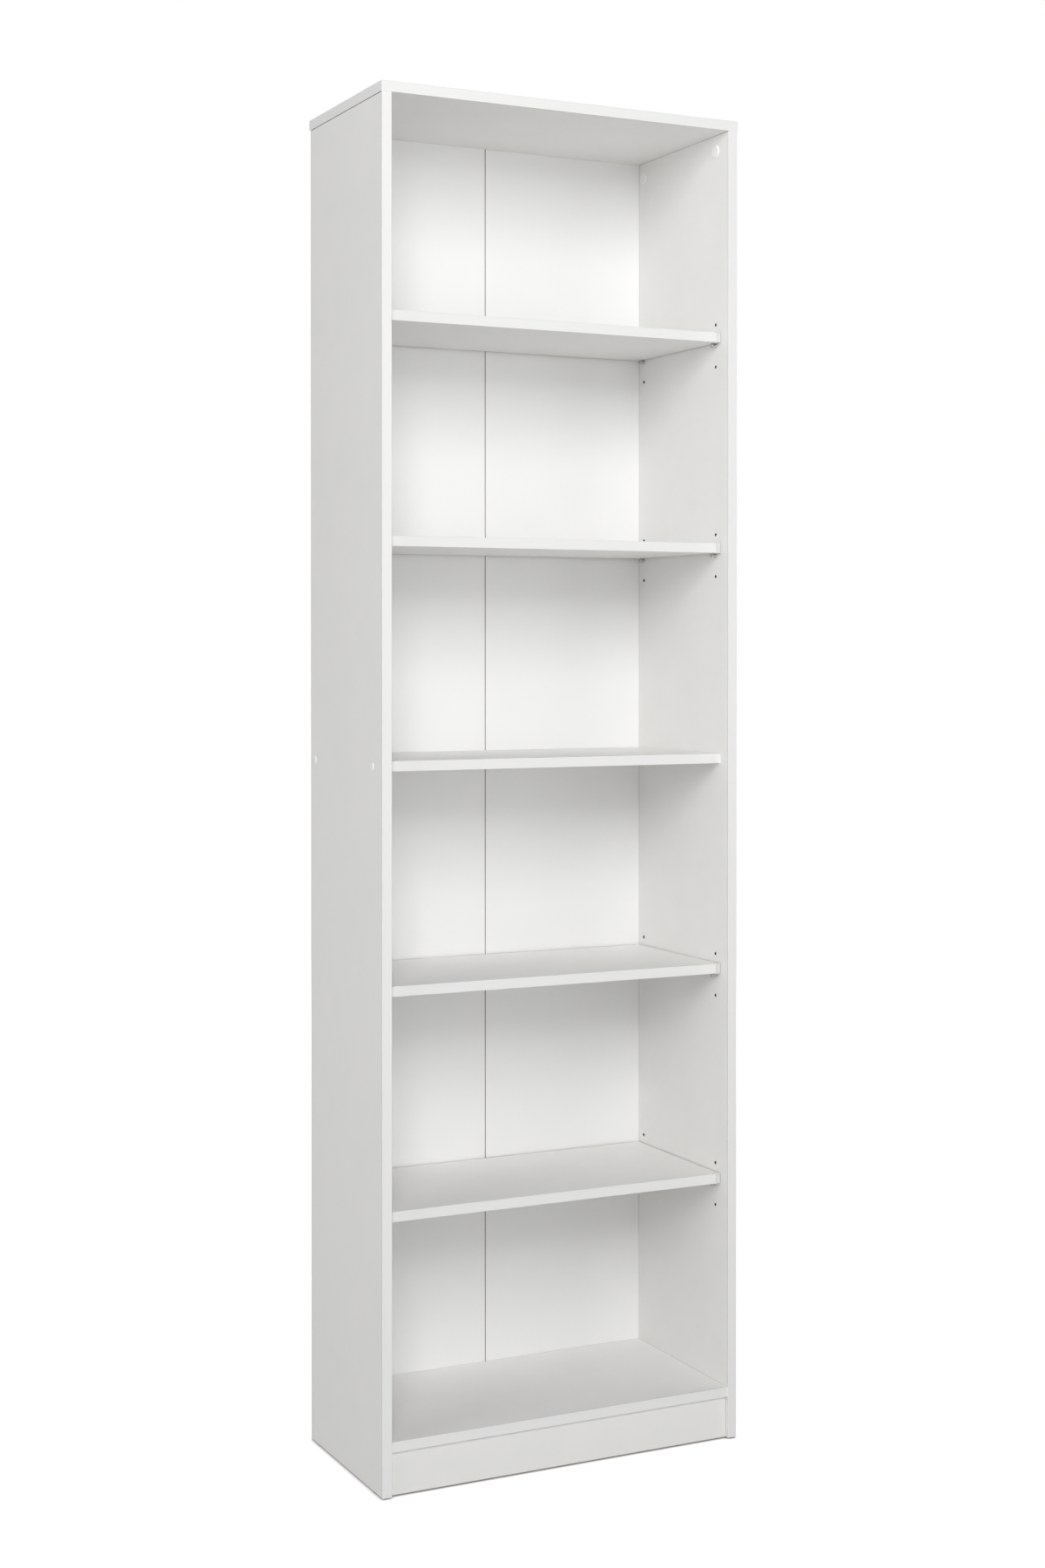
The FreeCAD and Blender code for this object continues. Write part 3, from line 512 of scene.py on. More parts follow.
@dataclass(frozen=True)
class CastZinc(Finish):
    """Die-cast zinc: dull grey, with the grain of the mould and darker clouds of oxide."""

    tones: tuple[str, str] = ("#8D9194", "#B4B8BB")
    grain_mm: float = 0.5
    grain_depth_mm: float = 0.05
    cloud_mm: float = 4.0
    roughness: tuple[float, float] = (0.62, 0.45)

    def draw(self, tree: bpy.types.NodeTree) -> dict[str, Any]:
        """Grain and clouds of oxide.

        Args:
            tree: the node tree.

        Returns:
            What the shader's inputs get.
        """
        point = add_node(tree, "TexCoord", out="Object")
        oxide = {"Scale": per_metre(self.cloud_mm), "Detail": 5.0}
        cloud = add_node(tree, "TexNoise", {"Vector": point, **oxide})
        colour = add_node(tree, "Mix", {0: cloud, **shades(self.tones)}, MIXED, data_type="RGBA")
        rough = add_node(tree, "MapRange", {"Value": cloud, **limits(self.roughness)})
        grain = add_node(tree, "TexNoise", {"Vector": point, "Scale": per_metre(self.grain_mm)})
        normal = add_node(
            tree, "Bump", {"Height": grain, "Distance": self.grain_depth_mm * MM}, "Normal"
        )
        return {"Base Color": colour, "Metallic": 1.0, "Roughness": rough, "Normal": normal}


@dataclass(frozen=True)
class MouldedPlastic(Finish):
    """Injection-moulded plastic: even colour, faint flow clouds and the eroded texture of the mould."""

    tones: tuple[str, str]
    gloss: tuple[float, float] = (0.30, 0.42)
    grain_mm: float = 0.6
    grain_depth_mm: float = 0.01
    opacity: float = 1.0
    ior: float = 1.5
    cloud_mm: float = 6.0

    def draw(self, tree: bpy.types.NodeTree) -> dict[str, Any]:
        """Flow clouds and grain; a thin clear wall shows what it lies on.

        Args:
            tree: the node tree.

        Returns:
            What the shader's inputs get.
        """
        point = add_node(tree, "TexCoord", out="Object")
        cloud = add_node(tree, "TexNoise", {"Vector": point, "Scale": per_metre(self.cloud_mm)})
        colour = add_node(tree, "Mix", {0: cloud, **shades(self.tones)}, MIXED, data_type="RGBA")
        rough = add_node(tree, "MapRange", {"Value": cloud, **limits(self.gloss)})
        grain = add_node(tree, "TexNoise", {"Vector": point, "Scale": per_metre(self.grain_mm)})
        normal = add_node(
            tree, "Bump", {"Height": grain, "Distance": self.grain_depth_mm * MM}, "Normal"
        )
        return {
            "Base Color": colour, "Roughness": rough, "Normal": normal,
            "IOR": self.ior, "Alpha": self.opacity,
        }


@dataclass(frozen=True)
class TurnedBeech(Finish):
    """Turned beech rod: straight pale grain with short darker flecks along it."""

    along: Axis
    wood: tuple[str, str, str] = ("#B08458", "#D0A878", "#E0BF93")
    grain_mm: float = 1.1
    grain_stretch: float = 14.0
    grain_depth_mm: float = 0.08
    roughness: tuple[float, float] = (0.75, 0.6)

    def draw(self, tree: bpy.types.NodeTree) -> dict[str, Any]:
        """Grain and flecks along the dowel.

        Args:
            tree: the node tree.

        Returns:
            What the shader's inputs get.
        """
        point = add_node(tree, "TexCoord", out="Object")
        squeeze = tuple(1 / self.grain_stretch if part else 1.0 for part in self.along.unit)
        drawn = add_node(tree, "Mapping", {"Vector": point, "Scale": squeeze})
        grain = add_node(
            tree, "TexNoise", {"Vector": drawn, "Scale": per_metre(self.grain_mm), "Detail": 5.0}
        )
        colour = add_node(tree, "ValToRGB", {0: grain})
        set_stops(colour.node.color_ramp, dict(zip((0.25, 0.5, 0.75), self.wood)))
        rough = add_node(tree, "MapRange", {"Value": grain, **limits(self.roughness)})
        normal = add_node(
            tree, "Bump", {"Height": grain, "Distance": self.grain_depth_mm * MM}, "Normal"
        )
        return {"Base Color": colour, "Roughness": rough, "Normal": normal}


# nickel gives the steel its slightly yellow white
NICKEL_PIN = LatheTurnedMetal("nickel_plated_turned_steel")
# bright drawn wire, with its head pressed to shape
WIRE_NAIL = LatheTurnedMetal(
    "bright_steel_wire", ("#A3A5A8", "#BFC1C3"), ring_mm=0.5, ring_depth_mm=0.02, roughness=(0.28, 0.42)
)
WHITE_CAP = MouldedPlastic("moulded_white_polypropylene", ("#F7F7F5", "#FAFAF9"))
CLEAR_CLIP = MouldedPlastic(
    "moulded_clear_polycarbonate", ("#F6F7F7", "#FBFCFC"), gloss=(0.08, 0.16), grain_mm=1.0,
    opacity=0.6, ior=1.58,
)
DARK_GLIDE = MouldedPlastic(
    "moulded_dark_nylon", ("#303133", "#3B3C3E"), gloss=(0.45, 0.6), grain_mm=0.8, grain_depth_mm=0.03
)
CAM_METAL = CastZinc("die_cast_zinc")
FOLD_TAPE = CrepeTape("buff_crepe_paper")
BACK_BOARD = Hardboard("lacquered_hardboard")


# ------------------------------------------------------------------------------------------ surfaces


@dataclass(frozen=True)
class Surface:
    """A closed surface: points, four-sided and three-sided faces, and each point's length along."""

    points: np.ndarray
    quads: np.ndarray
    triangles: np.ndarray
    along: np.ndarray

    def outward(self) -> Surface:
        """The same surface with its faces pointing outward.

        Its volume is a sixth of the sum, over all triangles, of the first corner's dot product with
        the cross product of the other two; where that is negative, every face is turned round.

        Returns:
            This surface, or one with every face turned round.
        """
        split = np.concatenate([self.quads[:, [0, 1, 2]], self.quads[:, [0, 2, 3]], self.triangles])
        first, second, third = self.points[split.T]
        if np.einsum("ij,ij->", first, np.cross(second, third)) >= 0:
            return self
        return Surface(self.points, self.quads[:, ::-1], self.triangles[:, ::-1], self.along)


def joined(surfaces: Sequence[Surface]) -> Surface:
    """Puts separate surfaces into one, each with its faces' numbers moved past the earlier points.

    Args:
        surfaces: the surfaces to join.

    Returns:
        One surface of as many loose shells.
    """
    starts = np.cumsum([0] + [len(surface.points) for surface in surfaces[:-1]])
    return Surface(
        np.concatenate([surface.points for surface in surfaces]),
        np.concatenate([surface.quads + start for surface, start in zip(surfaces, starts)]),
        np.concatenate([surface.triangles + start for surface, start in zip(surfaces, starts)]),
        np.concatenate([surface.along for surface in surfaces]),
    )


def rounded(corners: np.ndarray, radii: Sequence[float], steps: int = 6) -> np.ndarray:
    """Rounds the inner corners of an open line of points.

    Each corner P is cut back to A and B, a radius away along its two sides.  The curve between them
    is (1 - t) squared times A, plus 2 t (1 - t) times P, plus t squared times B.

    Args:
        corners: points of the line, two numbers each.
        radii: how far each inner corner is cut back.
        steps: points on each rounding.

    Returns:
        The points of the rounded line, with repeated points left out.
    """
    middle = corners[1:-1]
    cut = np.asarray(radii, float)[:, None]
    back = corners[:-2] - middle
    ahead = corners[2:] - middle
    start = middle + back / np.linalg.norm(back, axis=1, keepdims=True) * cut
    end = middle + ahead / np.linalg.norm(ahead, axis=1, keepdims=True) * cut
    t = np.linspace(0, 1, steps)[None, :, None]
    arcs = (1 - t) ** 2 * start[:, None] + 2 * t * (1 - t) * middle[:, None] + t**2 * end[:, None]
    line = np.concatenate([corners[:1], arcs.reshape(-1, 2), corners[-1:]])
    moved = np.linalg.norm(np.diff(line, axis=0), axis=1) > 1e-8
    return line[np.concatenate([[True], moved])]


def turned(
    outline: np.ndarray, centre: Sequence[float], axis: Axis, sign: int, segments: int = 32
) -> Surface:
    """Turns an outline about an axis into a closed surface.

    A point at angle a and height h along the axis lies at the outline's radius r for that height:
    its two places across the axis are r cos a and r sin a.  The outline's first and last points are
    on the axis and become the two poles.

    Args:
        outline: (height, radius) pairs from the lowest pole to the highest.
        centre: where height zero lies.
        axis: the axis of turning.
        sign: 1 where heights grow along the axis, -1 where they grow against it.
        segments: faces around.

    Returns:
        The turned surface, with each point's length along the outline in millimetres.
    """
    height, radius = outline.T
    rings = len(outline) - 2
    angle = np.linspace(0, 2 * math.pi, segments, endpoint=False)
    local = np.zeros((rings, segments, 3))
    local[..., 0] = height[1:-1, None] * sign
    local[..., 1] = radius[1:-1, None] * np.cos(angle)
    local[..., 2] = radius[1:-1, None] * np.sin(angle)
    poles = np.array([[height[0] * sign, 0, 0], [height[-1] * sign, 0, 0]])
    points = np.concatenate([poles[:1], local.reshape(-1, 3), poles[1:]])
    points = np.roll(points, axis.value, axis=1) + np.asarray(centre)
    ring = 1 + np.arange(rings * segments).reshape(rings, segments)
    after = np.roll(ring, -1, axis=1)
    quads = np.stack([ring[:-1], after[:-1], after[1:], ring[1:]], axis=-1).reshape(-1, 4)
    foot = np.stack([np.zeros(segments, int), after[0], ring[0]], axis=-1)
    head = np.stack([np.full(segments, len(points) - 1), ring[-1], after[-1]], axis=-1)
    length = np.concatenate([[0], np.cumsum(np.linalg.norm(np.diff(outline, axis=0), axis=1))])
    along = np.concatenate([length[:1], np.repeat(length[1:-1], segments), length[-1:]]) / MM
    return Surface(points, quads, np.concatenate([foot, head]), along).outward()


def thick_strip(inner: np.ndarray, outer: np.ndarray) -> Surface:
    """Closes the space between two grids of the same size into a solid strip.

    Both grids hold one row of points for each station along the strip.  The walls are the inner
    grid, the outer grid, the two long edges between them and the two ends.

    Args:
        inner: stations x points x 3, the face against what the strip lies on.
        outer: the same grid moved outward by the strip's thickness.

    Returns:
        The closed strip, with each point's length along its row in millimetres.
    """
    stations, count, _ = inner.shape
    low = np.arange(stations * count).reshape(stations, count)
    high = low + stations * count
    corner_sets = [
        (low[:-1, :-1], low[:-1, 1:], low[1:, 1:], low[1:, :-1]),
        (high[:-1, :-1], high[1:, :-1], high[1:, 1:], high[:-1, 1:]),
        (low[:-1, 0], low[1:, 0], high[1:, 0], high[:-1, 0]),
        (low[:-1, -1], high[:-1, -1], high[1:, -1], low[1:, -1]),
        (low[0, :-1], high[0, :-1], high[0, 1:], low[0, 1:]),
        (low[-1, :-1], low[-1, 1:], high[-1, 1:], high[-1, :-1]),
    ]
    quads = np.concatenate([np.stack(corners, axis=-1).reshape(-1, 4) for corners in corner_sets])
    run = np.linalg.norm(np.diff(inner[0], axis=0), axis=1)
    row = np.concatenate([[0], np.cumsum(run)]) / MM
    points = np.concatenate([inner.reshape(-1, 3), outer.reshape(-1, 3)])
    return Surface(points, quads, np.zeros((0, 3), int), np.tile(row, 2 * stations)).outward()


# ------------------------------------------------------------------------------------- the bookcase


def corners_of(node: str) -> tuple[np.ndarray, np.ndarray]:
    """A frame node's lowest and highest corners."""
    low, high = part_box(node)
    return np.array(low), np.array(high)


def dress(nodes: Sequence[str], finish: Finish) -> None:
    """Gives frame nodes a finish.

    Args:
        nodes: names of the frame nodes.
        finish: what they are made of.
    """
    for node in nodes:
        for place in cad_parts[node].material_slots:
            place.material = finish.material()
        log.info("%s: frame shape, %s", node, finish.title)


def dress_board(node: str, across: Axis) -> None:
    """Gives a frame node the board finish, with its sheets and edges at the faces of its box.

    Args:
        node: name of the board.
        across: the direction through its thickness.
    """
    low, high = (tuple(corner.tolist()) for corner in corners_of(node))
    dress([node], MelamineBoard(f"melamine_faced_chipboard_{node}", across, low, high))


def add_piece(
    name: str, surface: Surface, body: str, node: str, finish: Finish
) -> None:
    """Makes an object from a surface and lets it stand for a frame node.

    Args:
        name: the piece's name.
        surface: its shape, in the frame.
        body: the body that it rides on.
        node: the frame node that it replaces.
        finish: what it is made of.
    """
    mesh = bpy.data.meshes.new(name)
    mesh.from_pydata(surface.points.tolist(), [], surface.quads.tolist() + surface.triangles.tolist())
    mesh.attributes.new(ALONG, "FLOAT", "POINT").data.foreach_set("value", surface.along.astype("f"))
    mesh.polygons.foreach_set("use_smooth", np.ones(len(mesh.polygons), bool))
    mesh.set_sharp_from_angle(angle=SHARP_ANGLE)
    mesh.materials.append(finish.material())
    piece = bpy.data.objects.new(name, mesh)
    bpy.context.scene.collection.objects.link(piece)
    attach(piece, body)
    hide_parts(node)
    log.info("%s: %d faces, rides on %s, %s", name, len(mesh.polygons), body, finish.title)


@dataclass
class Carcass:
    """The case's boards and their edge bands, which keep their frame shapes."""

    uprights: tuple[str, ...] = ("left_side_panel", "right_side_panel")
    flats: tuple[str, ...] = ("top_panel", "bottom_shelf", "fixed_middle_shelf")
    plinth: str = "plinth_board"
    upright_bands: tuple[str, ...] = ("left_side_edge_band", "right_side_edge_band")
    cross_bands: tuple[str, ...] = ("top_edge_bands", "bottom_shelf_edge_band", "fixed_shelf_edge_band")

    def build(self) -> None:
        """Dresses every board and band."""
        for node in self.uprights:
            dress_board(node, Axis.X)
        for node in self.flats:
            dress_board(node, Axis.Z)
        dress_board(self.plinth, Axis.Y)
        dress(self.upright_bands, EdgeBand("buffed_abs_edging_upright", Axis.Z))
        dress(self.cross_bands, EdgeBand("buffed_abs_edging_across", Axis.X))


@dataclass
class FoldingBack:
    """The back: two hardboard halves, the tape over their fold and the nails round them."""

    tape_edge: float = 0.06 * MM
    tape_sag: float = 0.35 * MM
    tape_columns: int = 61
    tape_rows: int = 160
    head_radius: float = 2.0 * MM
    head_height: float = 0.6 * MM
    wire_radius: float = 0.7 * MM
    nail_length: float = 15.0 * MM
    point_length: float = 1.4 * MM
    nails_per_side: int = 10
    cross_nails: tuple[float, float] = (90 * MM, 204 * MM)

    def build(self) -> None:
        """Dresses the halves and makes the tape and the nails."""
        dress(["back_panel_left", "back_panel_right"], BACK_BOARD)
        add_piece("fold_tape", self.tape(), CASE, "back_hinge_tape", FOLD_TAPE)
        add_piece("back_nails", self.nails(), CASE, "back_panel_nails", WIRE_NAIL)

    def tape(self) -> Surface:
        """The tape, thin at its edges and drawn a little into the open fold.

        Its thickness falls from the full one to the edge's with the eighth power of the distance
        from the middle in half widths.  Over the fold both faces dip by the sag times e to the power
        of minus four times the squared distance in gap widths.

        Returns:
            The closed tape.
        """
        low, high = corners_of("back_hinge_tape")
        gap = corners_of("back_panel_right")[0][0] - corners_of("back_panel_left")[1][0]
        wide = np.linspace(low[0], high[0], self.tape_columns)
        across = np.unique(np.concatenate([wide, np.linspace(-gap, gap, 13)]).round(6))
        x, z = np.meshgrid(across, np.linspace(low[2], high[2], self.tape_rows))
        share = np.abs(x) / high[0]
        thickness = self.tape_edge + (high[1] - low[1] - self.tape_edge) * (1 - share**8)
        dip = self.tape_sag * np.exp(-4 * (x / gap) ** 2)
        inner = np.stack([x, low[1] - dip, z], axis=-1)
        outer = np.stack([x, low[1] - dip + thickness, z], axis=-1)
        return thick_strip(inner, outer)

    def nail_outline(self) -> np.ndarray:
        """A wire nail's outline, from its point to its slightly crowned head.

        Returns:
            (height, radius) pairs; height zero is the underside of the head.
        """
        corners = np.array([
            (-self.nail_length, 0.0),
            (self.point_length - self.nail_length, self.wire_radius),
            (-2 * self.head_height, self.wire_radius),
            (0.0, 1.25 * self.wire_radius),
            (0.0, self.head_radius),
            (0.7 * self.head_height, self.head_radius),
            (self.head_height, 0.5 * self.head_radius),
            (self.head_height, 0.0),
        ])
        return rounded(corners, np.array([0.2, 0.3, 0.1, 0.12, 0.15, 0.3]) * MM, 4)

    def nails(self) -> Surface:
        """All the nails: evenly down each side, and two a half along each fixed shelf.

        Returns:
            One surface with a shell for each nail.
        """
        low, high = corners_of("back_panel_nails")
        face = corners_of("back_panel_left")[1][1]
        column = high[0] - self.head_radius
        span = (low[2] + self.head_radius, high[2] - self.head_radius)
        heights = np.linspace(*span, self.nails_per_side)
        places = [(side.value * column, height) for side in Side for height in heights]
        for shelf in ("bottom_shelf", "fixed_middle_shelf"):
            middle = sum(corner[2] for corner in corners_of(shelf)) / 2
            places += [(side.value * x, middle) for side in Side for x in self.cross_nails]
        outline = self.nail_outline()
        return joined([turned(outline, (x, face, z), Axis.Y, 1, 20) for x, z in places])


@dataclass(frozen=True)
class PushInCap:
    """Sizes of one kind of push-in cap and the node of its four."""

    name: str
    node: str
    radius: float
    height: float
    peg_radius: float
    peg: float
    inward: bool

    def outline(self) -> np.ndarray:
        """The cap's outline: its peg, a flat back, a rounded rim and a flat face.

        Returns:
            (height, radius) pairs; height zero is the board's face.
        """
        corners = np.array([
            (-self.peg, 0.0),
            (-self.peg, self.peg_radius),
            (0.0, self.peg_radius),
            (0.0, self.radius),
            (0.6 * self.height, self.radius),
            (self.height, self.radius - 0.4 * self.height),
            (self.height, 0.0),
        ])
        cuts = np.array([0.4 * MM, 0.1 * MM, 0.1 * MM, 0.2 * self.height, 0.2 * self.height])
        return rounded(corners, cuts, 6)

    def build(self) -> None:
        """Makes the four caps: two columns on each side, centred on the node's box."""
        low, high = corners_of(self.node)
        inner, outer = (corner[0] for corner in corners_of("right_side_panel"))
        face, sign = (inner, -1) if self.inward else (outer, 1)
        middle = (low[2] + high[2]) / 2
        outline = self.outline()
        caps = [
            turned(outline, (side.value * face, y, middle), Axis.X, side.value * sign, 48)
            for side in Side
            for y in (low[1] + self.radius, high[1] - self.radius)
        ]
        add_piece(self.name, joined(caps), CASE, self.node, WHITE_CAP)


@dataclass
class Fittings:
    """Cams, bolts, dowels, screws and caps."""

    caps: tuple[PushInCap, ...] = (
        PushInCap(
            "cam_caps", "top_cam_cover_caps", 9.5 * MM, 2.0 * MM, 2.1 * MM, 2.6 * MM, True
        ),
        PushInCap(
            "screw_caps", "fixed_shelf_screw_caps", 5.8 * MM, 0.8 * MM, 2.0 * MM, 2.1 * MM, False
        ),
    )

    def build(self) -> None:
        """Dresses each hidden fitting along its own length, and makes the caps."""
        dress(["top_cam_locks", "bottom_cam_locks"], CAM_METAL)
        upright = RolledThread("zinc_plated_thread_upright", Axis.Z)
        across = RolledThread("zinc_plated_thread_across", Axis.X)
        dress(["top_cam_bolts"], upright)
        dress(["bottom_cam_bolts", "fixed_shelf_screws"], across)
        dress(["top_dowels"], TurnedBeech("turned_beech_upright", Axis.Z))
        dress(["bottom_dowels", "plinth_dowels"], TurnedBeech("turned_beech_across", Axis.X))
        for cap in self.caps:
            cap.build()


@dataclass
class Glides:
    """Nail-on glides under the sides."""

    radius: float = 7.0 * MM
    rim: float = 0.8 * MM
    nail_radius: float = 1.0 * MM
    point_length: float = 2.0 * MM

    def build(self) -> None:
        """Makes the four glides, each a rounded pad with its nail."""
        low, high = corners_of("floor_glides")
        base = corners_of("left_side_panel")[0][2]
        corners = np.array([
            (0.0, 0.0),
            (0.0, self.radius - self.rim),
            (self.rim, self.radius),
            (base, self.radius),
            (base, self.nail_radius),
            (high[2] - self.point_length, self.nail_radius),
            (high[2], 0.0),
        ])
        outline = rounded(corners, np.array([0.4, 0.4, 0.25, 0.2, 0.3]) * MM, 6)
        column = high[0] - self.radius
        glides = [
            turned(outline, (side.value * column, y, 0.0), Axis.Z, 1, 40)
            for side in Side
            for y in (low[1] + self.radius, high[1] - self.radius)
        ]
        add_piece("glides", joined(glides), CASE, "floor_glides", DARK_GLIDE)


@dataclass
class ShelfPin:
    """A turned shelf pin: shank in the panel, collar, waist and head."""

    shelf: int
    side: Side
    column: str
    reach: float = 8.0 * MM
    shank_radius: float = 2.45 * MM
    head_radius: float = 3.5 * MM
    waist_radius: float = 2.4 * MM
    collar: float = 1.4 * MM
    head: float = 2.0 * MM
    chamfer: float = 0.6 * MM

    def outline(self, shank: float) -> np.ndarray:
        """The pin's outline, from the shank's end to the middle of the head.

        Args:
            shank: length of the shank.

        Returns:
            (height, radius) pairs, with every turned corner broken.
        """
        shoulder = self.reach - self.head
        corners = np.array([
            (-shank, 0.0),
            (-shank, self.shank_radius - self.chamfer),
            (self.chamfer - shank, self.shank_radius),
            (0.0, self.shank_radius),
            (0.0, self.head_radius),
            (self.collar, self.head_radius),
            (self.collar + self.chamfer, self.waist_radius),
            (shoulder - self.chamfer, self.waist_radius),
            (shoulder, self.head_radius),
            (self.reach - self.chamfer, self.head_radius),
            (self.reach, self.head_radius - self.chamfer),
            (self.reach, 0.0),
        ])
        breaks = np.array([0.15, 0.2, 0.05, 0.15, 0.3, 0.4, 0.4, 0.3, 0.35, 0.35])
        return rounded(corners, breaks * MM, 6)

    def build(self) -> None:
        """Makes the pin where its node is."""
        name = f"pin_{self.side.name.lower()}_{self.column}"
        node = f"shelf_{self.shelf}_{name}"
        low, high = corners_of(node)
        panel = corners_of("right_side_panel")[0][0]
        shank = high[0] - low[0] - self.reach
        centre = (self.side.value * panel, (low[1] + high[1]) / 2, (low[2] + high[2]) / 2)
        surface = turned(self.outline(shank), centre, Axis.X, -self.side.value, 36)
        add_piece(f"turned_{node}", surface, f"{node}_body", node, NICKEL_PIN)


@dataclass
class AdjustableShelf:
    """A loose shelf: its board and band keep their frame shapes; its clips are made here."""

    number: int
    clip_wall: float = 0.6 * MM
    bead_wall: float = 1.2 * MM
    bead_width: float = 1.5 * MM
    # keeps the clip's inner face off the board's
    clearance: float = 0.03 * MM
    corner: float = 0.7 * MM
    stations: int = 25

    def build(self) -> None:
        """Dresses the board and its band, and makes the clips and the four pins."""
        board = f"adjustable_shelf_{self.number}"
        dress_board(board, Axis.Z)
        dress([f"{board}_edge_band"], EdgeBand("buffed_abs_edging_across", Axis.X))
        clips = joined([self.clip(board, side) for side in Side])
        name, node = f"moulded_clips_{self.number}", f"{board}_clips"
        add_piece(name, clips, board, node, CLEAR_CLIP)
        for side in Side:
            for column in ("front", "rear"):
                ShelfPin(self.number, side, column).build()

    def clip(self, board: str, side: Side) -> Surface:
        """One clip: a U round the shelf's front corner, carried along X.

        The inner line runs forward under the board, up its front and back over it.  The outer line
        is the same, each point moved along its outward normal by the wall.  The wall is even but for
        a half-round bead at the inner end, whose height is the square root of one less the squared
        distance from its middle in half widths.

        Args:
            board: name of the shelf's board.
            side: the end of the shelf.

        Returns:
            The closed clip.
        """
        low, high = corners_of(f"{board}_clips")
        front, under = corners_of(f"{board}_edge_band")[0][1:]
        top = corners_of(board)[1][2]
        ends = np.array([(high[1], under), (front, under), (front, top), (high[1], top)])
        line = rounded(ends, [self.corner] * 2, 8)
        along = np.gradient(line, axis=0)
        along /= np.linalg.norm(along, axis=1, keepdims=True)
        away = np.stack([along[:, 1], -along[:, 0]], axis=-1)
        away *= np.sign(np.sum((line - line.mean(axis=0)) * away))
        inset = np.linspace(0, self.clip_width(board), self.stations)
        offset = 2 * inset / self.bead_width - 1
        bead = np.sqrt(np.clip(1 - offset**2, 0, 1))
        wall = self.clip_wall + (self.bead_wall - self.clip_wall) * bead
        inner = np.zeros((self.stations, len(line), 3))
        inner[..., 0] = (side.value * (high[0] - inset[-1] + inset))[:, None]
        inner[..., 1:] = line + self.clearance * away
        outer = inner.copy()
        outer[..., 1:] += (wall - self.clearance)[:, None, None] * away
        return thick_strip(inner, outer)

    def clip_width(self, board: str) -> float:
        """Width of one clip, measured on its node's points.

        Args:
            board: name of the shelf's board.

        Returns:
            The width along X.
        """
        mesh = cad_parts[f"{board}_clips"].data
        places = np.empty(len(mesh.vertices) * 3, np.float32)
        mesh.vertices.foreach_get("co", places)
        right = places[::3][places[::3] > 0]
        return float(right.max() - right.min())


# ------------------------------------------------------------------------------------------ studio


@dataclass(frozen=True)
class Softbox:
    """A rectangular studio light, hung at its place and turned to its aim."""

    name: str
    place: tuple[float, float, float]
    aim: tuple[float, float, float]
    size: tuple[float, float]
    watts: float

    def build(self) -> None:
        """Hangs the light."""
        data = bpy.data.lights.new(self.name, "AREA")
        data.shape = "RECTANGLE"
        data.size, data.size_y = self.size
        data.energy = self.watts
        lamp = bpy.data.objects.new(self.name, data)
        lamp.location = self.place
        away = Vector(self.aim) - Vector(self.place)
        lamp.rotation_euler = away.to_track_quat("-Z", "Y").to_euler()
        bpy.context.scene.collection.objects.link(lamp)


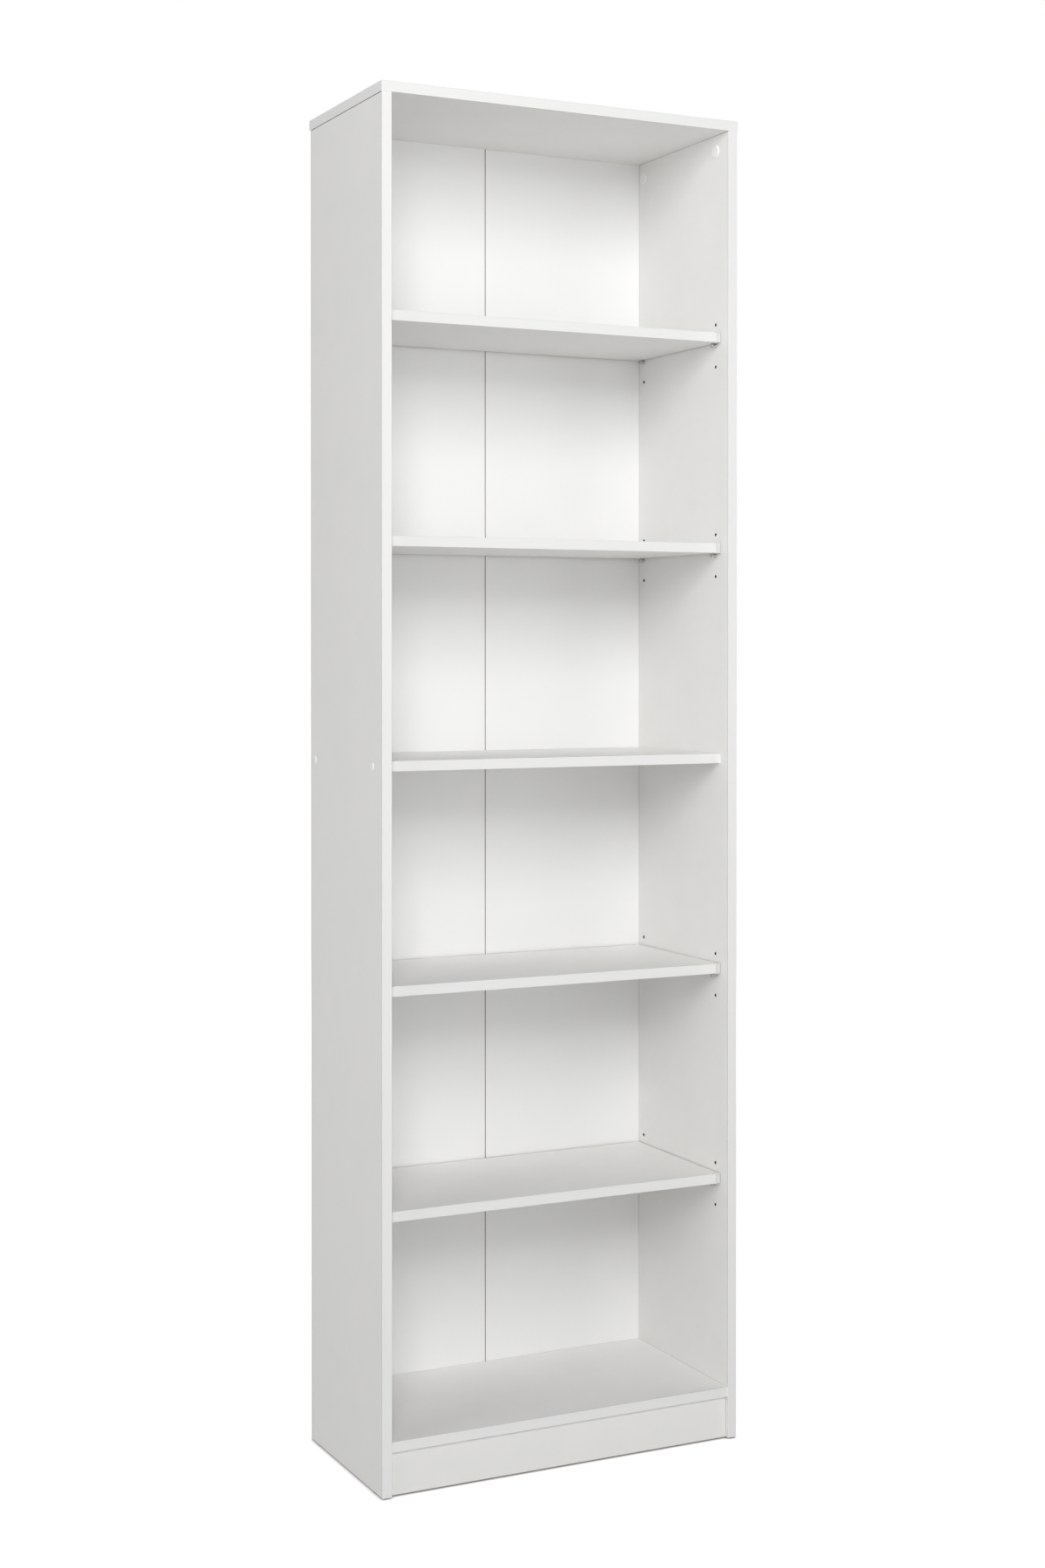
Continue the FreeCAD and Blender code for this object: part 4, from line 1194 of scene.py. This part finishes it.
@dataclass
class Studio:
    """Pale floor, white surroundings, soft lights and the camera."""

    softboxes: tuple[Softbox, ...] = (
        Softbox("key_high_left", (-1.6, -4.0, 3.2), (0, 0, 1), (2, 2), 114),
        Softbox("key_low_left", (-1.6, -4.0, 1.6), (0, 0, 1), (2, 2), 28),
        Softbox("fill_right", (2.6, -3.4, 1.4), (0, 0, 1), (2, 2), 19),
        Softbox("side_left", (-4.0, -0.8, 2.2), (0, 0, 1), (2, 2), 46),
        Softbox("rear_right", (2.2, 4.2, 2.4), (0, 0, 1), (2.5, 2.5), 130),
    )
    ambient: float = 0.01
    floor_bounce: float = 0.48
    reflected: float = 0.4
    floor_size: float = 60.0
    floor_colour: str = "#808080"
    contact_reach: float = 0.008
    camera_place: tuple[float, float, float] = (-1.5387, -3.1179, 1.1996)
    camera_turn: float = 26.233
    camera_tilt: float = 0.317
    lens_mm: float = 52.70
    shift_up: float = -0.0787

    def build(self) -> None:
        """Builds the floor, the surroundings, the lights and the camera."""
        self.build_floor()
        self.build_surroundings()
        for softbox in self.softboxes:
            softbox.build()
        self.build_camera()
        bpy.context.scene.view_settings.view_transform = "Standard"

    def build_floor(self) -> None:
        """A large pale floor, part of the stage and not of the object.

        It glows evenly as a plain backdrop; near the object ambient occlusion dims the glow, a painted
        contact shadow where the object stands.
        """
        half = self.floor_size / 2
        mesh = bpy.data.meshes.new("studio_floor")
        corners = [(-half, -half, 0), (half, -half, 0), (half, half, 0), (-half, half, 0)]
        mesh.from_pydata(corners, [], [(0, 1, 2, 3)])
        material = bpy.data.materials.new("painted_studio_floor")
        material.use_nodes = True
        material.cycles.emission_sampling = "NONE"
        tree = material.node_tree
        shader = tree.nodes["Principled BSDF"]
        shader.inputs["Base Color"].default_value = linear(self.floor_colour)
        shader.inputs["Roughness"].default_value = 0.9
        shader.inputs["Emission Strength"].default_value = 1.0
        # painted shadow: the floor's glow fades by ambient occlusion within the contact reach of the
        # object
        reach = {"Distance": self.contact_reach}
        painted_contact_shadow = add_node(tree, "AmbientOcclusion", reach, "AO", samples=8)
        tree.links.new(painted_contact_shadow, shader.inputs["Emission Color"])
        mesh.materials.append(material)
        floor = bpy.data.objects.new("studio_floor", mesh)
        floor.visible_diffuse = False
        floor.visible_shadow = False
        bpy.context.scene.collection.objects.link(floor)

    def build_surroundings(self) -> None:
        """Surroundings that look white, and light the object less than they look.

        The floor's own bounce is part of them, so that the floor can be shown paler than it lights.
        """
        world = bpy.data.worlds.new("white_studio")
        world.use_nodes = True
        tree = world.node_tree
        tree.nodes.clear()
        direction = add_node(tree, "TexCoord", out="Generated")
        height = add_node(tree, "SeparateXYZ", {0: direction}, "Z")
        levels = {"From Min": -0.1, "From Max": 0.1, **limits((self.floor_bounce, self.ambient))}
        lighting = add_node(tree, "MapRange", {"Value": height, **levels})
        rays = add_node(tree, "LightPath").node.outputs
        gloss = add_node(
            tree, "Math", {0: rays["Is Glossy Ray"], 1: self.reflected}, operation="MULTIPLY"
        )
        seen = add_node(tree, "Math", {0: rays["Is Camera Ray"], 1: gloss}, operation="MAXIMUM")
        strength = add_node(tree, "MapRange", {"Value": seen, "To Min": lighting, "To Max": 1.0})
        white = {"Color": (1.0, 1.0, 1.0, 1.0), "Strength": strength}
        output = tree.nodes.new("ShaderNodeOutputWorld")
        tree.links.new(add_node(tree, "Background", white), output.inputs["Surface"])
        bpy.context.scene.world = world

    def build_camera(self) -> None:
        """A camera to the left of the front, at the height of the middle shelf."""
        data = bpy.data.cameras.new("camera")
        data.lens = self.lens_mm
        data.shift_y = self.shift_up
        camera = bpy.data.objects.new("camera", data)
        camera.location = self.camera_place
        camera.rotation_euler = (
            math.radians(90 - self.camera_tilt), 0.0, math.radians(-self.camera_turn)
        )
        bpy.context.scene.collection.objects.link(camera)
        bpy.context.scene.camera = camera


def main() -> None:
    """Builds the bookcase part by part, then the studio."""
    logging.basicConfig(level=logging.INFO, format="%(name)s: %(message)s")
    assemblies = [Carcass(), FoldingBack(), Fittings(), Glides()]
    assemblies += [AdjustableShelf(number) for number in (1, 2, 3, 4)]
    for assembly in assemblies:
        log.info("building %s", assembly)
        assembly.build()
    Studio().build()


if __name__ == "__main__":
    main()
